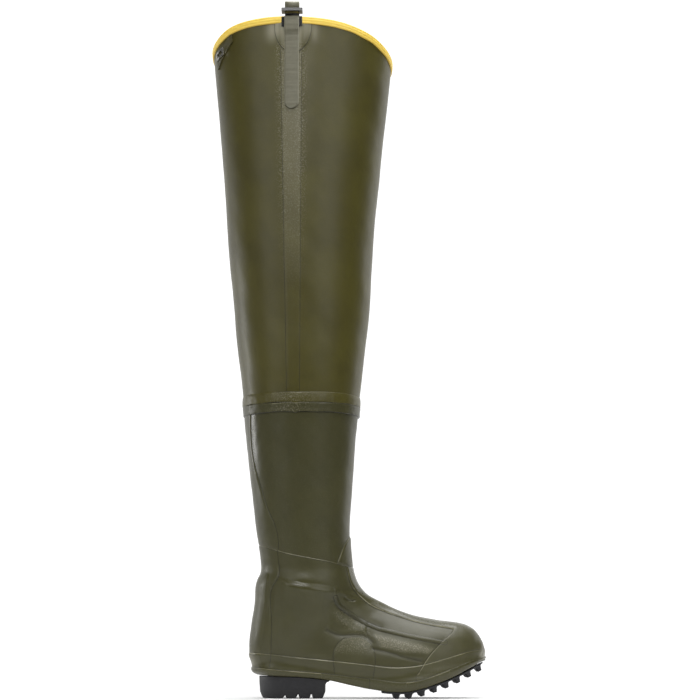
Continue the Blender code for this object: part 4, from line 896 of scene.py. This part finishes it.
def lug_places():
    """Middles of the studs: rows across the forefoot, each spread evenly over the plate's width."""
    places, x = [], LUG_FIRST
    for _ in range(LUG_ROWS):
        outer, inner = sole_edges(x + 2.0)
        room = PLATE_INSET + LUG_BASE / 2 + 0.8
        low, high = float(outer) + room, float(inner) - room
        count = max(1, int((high - low) // (LUG_PITCH * 1.12)) + 1)
        steps = [k / (count - 1) for k in range(count)] if count > 1 else [0.5]
        places += [(x, low + (high - low) * step) for step in steps]
        x += LUG_PITCH / math.hypot(1.0, plate_slope(x))
    return places


stations = 160
rings = []
for inset, drop in ((30.0, 0.0), (4.0, 0.0), (3.9, 0.3), (3.9, 1.6), (4.3, 2.1), (5.2, 2.2), (30.0, 2.2)):
    loop = sole_loop(400, inset)
    half = len(loop) // 2
    outer_side, inner_side = loop[:half], loop[half:][::-1]
    x_front = outer_side[:, 0].max() - 0.05
    x = PLATE_BACK + (x_front - PLATE_BACK) * np.sin(np.linspace(0, 1, stations) * math.pi / 2)
    outer, inner = (np.interp(x, side[:, 0], side[:, 1]) for side in (outer_side, inner_side))
    outer = np.minimum(outer, (outer + inner) / 2)
    ring = np.vstack([np.column_stack([x, outer]), np.column_stack([x, inner])[::-1]])
    rings.append(np.column_stack([ring, line_height(SOLE_UNDER, ring[:, 0]) - GAP - drop]))
points = [np.concatenate(rings)]
faces = lidded(len(rings), 2 * stations)
around = 20
# Rows of (how far under the plate, radius), with the hollow in the tip last
stud = (
    (1.2, LUG_BASE / 2 + 0.9), (0.0, LUG_BASE / 2 + 0.6), (-0.5, LUG_BASE / 2 - 0.2),
    (-1.6, LUG_BASE / 2 - 0.8), (-4.0, LUG_TIP / 2 + 0.45), (-5.7, LUG_TIP / 2 + 0.05),
    (-6.15, LUG_TIP / 2 - 0.25), (-6.3, LUG_TIP / 2 - 0.7), (-6.2, LUG_TIP / 2 - 1.2),
    (-5.3, LUG_TIP / 2 - 1.6), (-5.1, 0.0),
)
for x, y in lug_places():
    flat = x < LUG_FIRST + 1.5 * LUG_PITCH
    slope = 0.0 if flat else plate_slope(x)
    down = np.array([slope, 0.0, -1.0]) / math.hypot(slope, 1.0)
    fore = np.array([1.0, 0.0, slope]) / math.hypot(slope, 1.0)
    root = np.array([x, y, float(plate_under(x))])
    length = root[2] if flat else LUG_HEIGHT
    start = sum(len(p) for p in points)
    turns = np.arange(around) * 2 * math.pi / around
    rows = []
    for drop, radius in stud:
        reach = drop * (length / LUG_HEIGHT if drop < 0 else 1.0)
        ring = root - down * reach + np.outer(np.cos(turns) * radius, fore)
        ring[:, 1] += np.sin(turns) * radius
        rows.append(ring)
    points.append(np.concatenate(rows))
    faces += (quads(len(stud), around) + start).tolist()
outsole = piece("forefoot_plate", np.concatenate(points), faces, black_rubber)
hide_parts("outsole")

HEEL_INSET = 4.5


def heel_ring(height, back, breast, inset):
    """One level of the heel block: round behind, square at the breast with small round corners."""
    share = 1 - np.cos(np.linspace(0, 1, 90) * math.pi / 2)
    x = back + (breast - back) * share
    outer, inner = sole_edges(np.clip(x, -40.0, 41.0))
    middle, half = (outer + inner) / 2, (inner - outer) / 2 - HEEL_INSET
    bend = np.clip((4.0 - x) / (4.0 - back), 0, 1)
    half = np.minimum(half, 34.5) * np.sqrt(1 - bend**2) - inset * (1 - bend)
    corner = np.clip((x - breast + 1.8) / 1.8, 0, 1)
    half = np.maximum(0.2, half - 1.8 * (1 - np.sqrt(1 - corner**2)))
    ring = np.vstack([np.column_stack([x, middle - half]), np.column_stack([x, middle + half])[::-1]])
    top = line_height(SOLE_UNDER, ring[:, 0]) - GAP
    return np.column_stack([ring, top + height if height <= 0 else np.full(len(ring), height)])


# Rows of height, back, breast and inset. Heights up to 0 hang from the rand, the rest stand on the floor.
levels = (
    (0.0, -42.0, 47.0, -0.6), (-0.8, -42.4, 47.0, -0.8), (20.0, -42.2, 44.0, -0.3), (17.0, -42.0, 41.8, 0.0),
    (7.8, -41.2, 41.5, 0.6), (7.2, -40.6, 41.2, 1.1), (6.6, -40.4, 41.0, 1.3), (3.6, -39.2, 40.0, 2.1),
    (1.2, -37.8, 38.8, 3.0), (0.3, -37.0, 38.0, 3.6), (0.0001, -36.2, 37.2, 4.4),
)
rings = [heel_ring(*level) for level in levels]
rings[-1][:, 2] = 0.0
heel = piece("heel_block", np.concatenate(rings), lidded(len(rings), 180), black_rubber)
slots = (
    ((-14.3, -2.0), (-5.6, -2.0), (-8.2, 4.0), (-9.2, 4.0)),
    ((3.1, -2.0), (10.6, -2.0), (8.2, 5.2), (6.6, 5.2)),
    ((20.7, -2.0), (27.5, -2.0), (24.9, 5.2), (23.4, 5.2)),
)
box_faces = ((0, 1, 2, 3), (7, 6, 5, 4), (4, 5, 1, 0), (5, 6, 2, 1), (6, 7, 3, 2), (7, 4, 0, 3))
cutters = []
for number, outline in enumerate(slots):
    cut = bpy.data.meshes.new(f"heel_slot_{number}")
    cut.from_pydata([(px * MM, py * MM, pz * MM) for py in (-60, 60) for px, pz in outline], [], box_faces)
    cutters.append(placed(f"heel_slot_{number}", cut))
    slot_cut = heel.modifiers.new(f"slot_{number}", "BOOLEAN")
    slot_cut.operation, slot_cut.solver, slot_cut.object = "DIFFERENCE", "EXACT", cutters[-1]
depsgraph = bpy.context.evaluated_depsgraph_get()
cut_mesh = bpy.data.meshes.new_from_object(heel.evaluated_get(depsgraph))
heel.modifiers.clear()
heel.data = cut_mesh
for cutter in cutters:
    bpy.data.objects.remove(cutter, do_unlink=True)
work = bmesh.new()
work.from_mesh(heel.data)
sharp = [e for e in work.edges if len(e.link_faces) == 2 and e.calc_face_angle(0) > 0.6]
bmesh.ops.bevel(work, geom=sharp, offset=0.5 * MM, segments=2, affect="EDGES", clamp_overlap=True)
work.to_mesh(heel.data)
work.free()
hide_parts("heel")

# Knee bands: two strips of sheet rubber wrapped over the joint of leg and shaft, the upper one laid second,
# rolled down by hand, so their edges run a little unevenly.

BAND_SPLIT = BAND_FOOT + LOWER_BAND_WIDTH + GAP


def band(name, foot, width, thickness, seed, profile, material):
    """A strip round the leg. Its profile has rows of (share of its width, share of its thickness)."""
    columns = 420
    angles = np.arange(columns) * 2 * math.pi / columns
    ring = np.column_stack([np.cos(angles) * 90, np.sin(angles) * 90, np.zeros(columns)])
    seam = np.exp(-((angles - 1.66) / 0.035) ** 2)
    low = foot + 0.5 * hand_laid(ring, 55.0, seed) - 1.6 * seam
    high = foot + width + 0.5 * hand_laid(ring, 70.0, seed + 1)
    rows = []
    for share, lift in profile:
        swell = 1 + 0.12 * hand_laid(ring + (0, 0, share * width), 18.0, seed + 2)
        height = low + (high - low) * share
        rows.append(leg_point(place_at(height), angles, GAP + lift * thickness * swell))
    points = np.concatenate(rows)
    marks = {"edge_b": no_edge(points), "edge_d": no_edge(points)}
    # A painted shadow line along the band's lower edge, on its first rows
    marks["edge_c"] = np.repeat([-0.35 if share < 0.06 else 2.0 for share, _ in profile], columns)
    # Near the seam the band's top edge gets a painted highlight and its grain's crests painted glints
    near_seam = np.tile(np.exp(-((angles - 1.75) / 0.3) ** 2), len(profile))
    to_top = np.repeat([(1 - share) * width - 1.0 for share, _ in profile], columns)
    marks["edge_a"] = np.where(near_seam > 0.3, to_top, -EDGE_REACH)
    marks["grain"], marks["scuff_and_sheen"] = 0.1 + 0.8 * near_seam, np.zeros(len(points))
    marks["polish"] = np.full(len(points), 0.2)
    return piece(name, points, quads(len(profile), columns), material, marks)


foot_edge = ((0.0, -0.4), (0.0, 0.3), (0.01, 0.8), (0.04, 1.02), (0.1, 1.1))
lower_profile = (
    *foot_edge, (0.25, 1.0), (0.5, 0.94), (0.75, 0.98), (0.9, 0.98), (0.985, 0.75), (1.0, 0.3), (1.0, -0.4),
)
upper_profile = (
    *foot_edge, (0.25, 1.0), (0.5, 0.85), (0.7, 0.62), (0.84, 0.38), (0.93, 0.18), (0.98, 0.0), (1.0, -0.3),
)
LAP = 0.8  # how far the upper band lies over the lower one
lower = band("lower_band", BAND_FOOT, LOWER_BAND_WIDTH, 1.8, 41, lower_profile, laid_rubber)
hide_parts("knee_band_lower")
upper = band("upper_band", BAND_SPLIT - LAP, UPPER_BAND_WIDTH + LAP, 1.6, 51, upper_profile, coated_fabric)
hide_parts("knee_band_upper")

# Collar binding: yellow coated tape folded over the raw edge of the shaft and stuck down on both sides,
# with a line pressed along it.

# Coated tape: a warm yellow, half glossy, painted brown as painted shade in its pressed lines and where its
# lower edge folds under
yellow_binding, tree, shader, where, _, colour = clouded(
    "yellow_coated_binding", "#E2BA40", "#F6D668", 7.143, 4.0
)
fold_shade = node(tree, "ShaderNodeAttribute", {"attribute_name": "fold_shade"}).outputs["Fac"]
shaded_tape = node(tree, "ShaderNodeMix", {"data_type": "RGBA"}, in_0=fold_shade,
             in_6=colour.outputs[2], in_7=linear("#A86E1C"))
weave = node(tree, "ShaderNodeTexNoise", Vector=where, Scale=1 / (0.7692 * MM), Detail=2.0)
bump = node(tree, "ShaderNodeBump", Strength=0.35, Distance=0.3 * MM, Height=weave.outputs[0])
tree.links.new(shaded_tape.outputs[2], shader.inputs["Base Color"])
tree.links.new(bump.outputs[0], shader.inputs["Normal"])
shader.inputs["Roughness"].default_value = 0.5
# The tape glows a little: painted light, brighter than its lamps make it
shader.inputs["Emission Color"].default_value = linear("#FFE468")
shader.inputs["Emission Strength"].default_value = 0.25

columns = 540
angles = np.arange(columns) * 2 * math.pi / columns
top = rim_height(angles)
ring = np.column_stack([np.cos(angles) * 110, np.sin(angles) * 90, np.zeros(columns)])
wave = 0.5 * hand_laid(ring, 40.0, 61)
out, into, thick = GAP, -SHAFT_WALL - GAP, TRIM_THICKNESS
# Rows of distance from the shaft's outside, drop from the rim, and how much brown painted shade the row takes
profile = (
    (out - 0.5, 9.5, 1.0), (out + 0.5, 9.5, 1.0), (out + 0.95, 9.2, 0.8), (out + 1.15, 8.6, 0.45),
    (out + 1.2, 7.6, 0.1), (out + 1.3, 6.8, 0.0), (out + 0.95, 6.4, 0.6), (out + 1.3, 6.0, 0.0),
    (out + 1.35, 4.6, 0.0), (out + 1.4, 3.2, 0.0), (out + 1.0, 2.8, 0.45), (out + 1.35, 2.4, 0.0),
    (out + 1.2, 1.2, 0.0), (out + 0.7, 0.4, 0.0), (out - 0.2, 0.05, 0.0), ((out + into) / 2, 0.0, 0.0),
    (into + 0.2, 0.05, 0.0), (into - 0.7, 0.4, 0.0), (into - 1.3, 1.4, 0.0), (into - thick, 5.0, 0.0),
    (into - 1.2, 9.0, 0.3), (into - 0.5, 9.5, 0.8), (into + 0.5, 9.4, 1.0),
)
rows, shade_marks = [], []
for offset, drop, mark in profile:
    height = top - drop - wave * (drop / TRIM_HEIGHT) ** 3 * 0.9
    rows.append(leg_point(place_at(height), angles, offset))
    shade_marks.append(np.full(columns, mark * 0.7))
binding = piece(
    "collar_binding", np.concatenate(rows), quads(len(profile), columns), yellow_binding,
    {"fold_shade": np.concatenate(shade_marks)},
)
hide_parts("collar_trim")

# Side strap: rubber-coated webbing, grey-olive, glued down over the seam tape and the patch, with a black
# webbing keeper under it at the rim.


def woven_material(name, dark, light, pitch, roughness, height):
    """Webbing: ribbed by cross threads this many millimetres apart, drawn coarser than the real ones."""
    made, tree, shader, where, _, _ = clouded(name, dark, light, 7.692, 5.0, 0.65)
    threads = node(tree, "ShaderNodeTexWave", {"bands_direction": "Z"}, Vector=where,
                   Scale=WAVE_PITCH / (pitch * MM), Distortion=0.8, Detail=2.0, Detail_Scale=2.0)
    # Puckers run across the webbing, about 6 mm apart
    flat = node(tree, "ShaderNodeVectorMath", {"operation": "MULTIPLY"}, in_0=where, in_1=(20.0, 20.0, 170.0))
    puckers = node(tree, "ShaderNodeTexNoise", Vector=flat.outputs[0], Scale=1.0, Detail=1.0)
    creased = node(tree, "ShaderNodeBump", Strength=0.6, Distance=1.5 * MM, Height=puckers.outputs[0])
    bump = node(tree, "ShaderNodeBump", Strength=0.5, Distance=height * MM, Height=threads.outputs[1],
                Normal=creased.outputs[0])
    tree.links.new(bump.outputs[0], shader.inputs["Normal"])
    shader.inputs["Roughness"].default_value = roughness
    return made


# The coated webbing is smooth and half matt. The bare black webbing is matt and plainly ribbed.
coated_webbing = woven_material("coated_grey_webbing", "#6A6855", "#7E7B67", 1.1, 0.5, 0.15)
black_webbing = woven_material("black_webbing", "#0E0E0F", "#1B1B1C", 0.9, 0.75, 0.3)


def angle_at(x, height):
    """Angle of the point of the outer side that has this x, in a level section."""
    front, _, back, _ = np.moveaxis(smooth(place_at(height), PLACES, SECTIONS)[..., :4], -1, 0)
    return np.arccos(np.clip((np.asarray(x) - (front + back) / 2) / ((front - back) / 2), -1, 1))


def strip(name, heights, halves, middle, under, thickness, material):
    """A strap up the outer side with rounded edges: a closed loop of points at each height."""
    face = np.linspace(-1, 1, 19)
    across = np.concatenate([face, face[::-1]])
    rounding = np.sqrt(np.clip(1 - ((np.abs(face) - 0.94) / 0.06).clip(0, 1) ** 2, 0, 1))
    lift = np.concatenate([0.5 + 0.5 * rounding, 0.5 - 0.5 * rounding])
    rows = []
    for height, half, base in zip(heights, halves, under):
        angles = angle_at(middle + across * half, height)
        rows.append(leg_point(float(place_at(height)), angles, base + lift * thickness))
    count = len(across)
    faces = quads(len(rows), count)[:, ::-1].tolist()
    faces += [list(range(count)), list(range(len(rows) * count - 1, (len(rows) - 1) * count - 1, -1))]
    return piece(name, np.concatenate(rows), faces, material)


KEEPER_DEPTH, KEEPER_WIDTH, KEEPER_THICKNESS = 13.7, 26.6, 1.2
half = STRAP_WIDTH / 2
top = collar_height - GAP
foot = top - STRAP_LENGTH
round_end = foot + half * (1 - np.cos(np.linspace(0.04, 1, 14) * math.pi / 2))
heights = np.concatenate([round_end, np.linspace(foot + half, top, 90)[1:]])
halves = np.concatenate([half * np.sin(np.linspace(0.04, 1, 14) * math.pi / 2), np.full(89, half)])
on_tape = 0.8 + GAP
on_keeper = GAP + TRIM_THICKNESS + GAP + KEEPER_THICKNESS
under = on_tape + (on_keeper - on_tape) * soft_step(heights - (top - 20.6), 11.0)
strap = strip(
    "side_strap", heights, halves, STRAP_MIDDLE, under, STRAP_THICKNESS, coated_webbing,
)
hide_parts("strap")
heights = np.linspace(collar_height - KEEPER_DEPTH, collar_height - 2 * GAP, 14)
keeper = strip(
    "strap_keeper", heights, np.full(14, KEEPER_WIDTH / 2), STRAP_MIDDLE, np.full(14, GAP + TRIM_THICKNESS),
    KEEPER_THICKNESS, black_webbing,
)
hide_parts("strap_guard")

# Belt loop: black webbing up from inside the collar, a fold of the grey webbing over it for the belt, and a
# black moulded slider round both.

web_low, web_high = (np.array(v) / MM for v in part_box("loop_web"))
loop_low, loop_high = (np.array(v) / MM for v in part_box("belt_loop"))


def rounded_slab(name, outline, x_from, x_to, material, bevel):
    """An outline of (y, z) drawn out along x, with its edges rounded."""
    count = len(outline)
    points = [(x, y, z) for x in (x_from, x_to) for y, z in outline]
    faces = [list(range(count - 1, -1, -1)), list(range(count, 2 * count))]
    faces += [(k, (k + 1) % count, count + (k + 1) % count, count + k) for k in range(count)]
    made = piece(name, points, faces, material)
    work = bmesh.new()
    work.from_mesh(made.data)
    bmesh.ops.recalc_face_normals(work, faces=work.faces[:])
    sharp = [e for e in work.edges if e.calc_face_angle(0) > 0.6]
    bmesh.ops.bevel(work, geom=sharp, offset=bevel * MM, segments=3, affect="EDGES", clamp_overlap=True)
    for face in work.faces:
        face.smooth = True
    work.to_mesh(made.data)
    work.free()
    return made


LOOP_THICKNESS = 1.6
(_, near, foot), (_, back, top) = web_low, web_high
web = rounded_slab(
    "loop_webbing", [(near, foot), (back, foot), (back, top), (near, top)], web_low[0], web_high[0],
    black_webbing, 0.3,
)
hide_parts("loop_web")
(_, near, foot), (_, back, top) = loop_low, loop_high
radius = (back - near) / 2
middle_y, middle_z = (near + back) / 2, top - radius
turns = np.linspace(0, math.pi, 25)
outside, inside_fold = (
    [(middle_y + math.cos(t) * r, middle_z + math.sin(t) * r) for t in turns]
    for r in (radius, radius - LOOP_THICKNESS)
)
fold = [(back, foot), *outside, (near, foot), (near + LOOP_THICKNESS, foot), *inside_fold[::-1]]
fold += [(back - LOOP_THICKNESS, foot)]
belt_fold = rounded_slab("belt_fold", fold, loop_low[0], loop_high[0], coated_webbing, 0.35)
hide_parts("belt_loop")

# Moulded nylon: black, with a dull shine and a skin that is a little uneven
black_nylon, tree, shader, _, cloud, _ = clouded("moulded_black_nylon", "#101012", "#1A1A1C", 2.0, 3.0)
bump = node(tree, "ShaderNodeBump", Strength=0.2, Distance=0.1 * MM, Height=cloud)
tree.links.new(bump.outputs[0], shader.inputs["Normal"])
shader.inputs["Roughness"].default_value = 0.28
dress("slider", black_nylon, 1.1)

# Rear cinch: a short coated strap that slants down and back from under the binding, through a small
# nickel-plated buckle.

# Nickel plate: bright and cold, with fine wear that dulls it in places
nickel = bpy.data.materials.new("nickel_plated_steel")
nickel.use_nodes = True
tree = nickel.node_tree
shader = tree.nodes["Principled BSDF"]
where = node(tree, "ShaderNodeTexCoord").outputs["Object"]
scratches = node(tree, "ShaderNodeTexNoise", Vector=where, Scale=1 / (1.429 * MM), Detail=4.0)
rough = node(tree, "ShaderNodeMapRange", Value=scratches.outputs[0], To_Min=0.15, To_Max=0.35)
tree.links.new(rough.outputs[0], shader.inputs["Roughness"])
shader.inputs["Base Color"].default_value = linear("#DEDCD6")
shader.inputs["Metallic"].default_value = 1.0
olive_webbing = woven_material("coated_olive_webbing", "#4B4729", "#585330", 1.1, 0.45, 0.15)
dress("rear_strap", olive_webbing, 0.4)
dress("rear_buckle", nickel, 0.4)
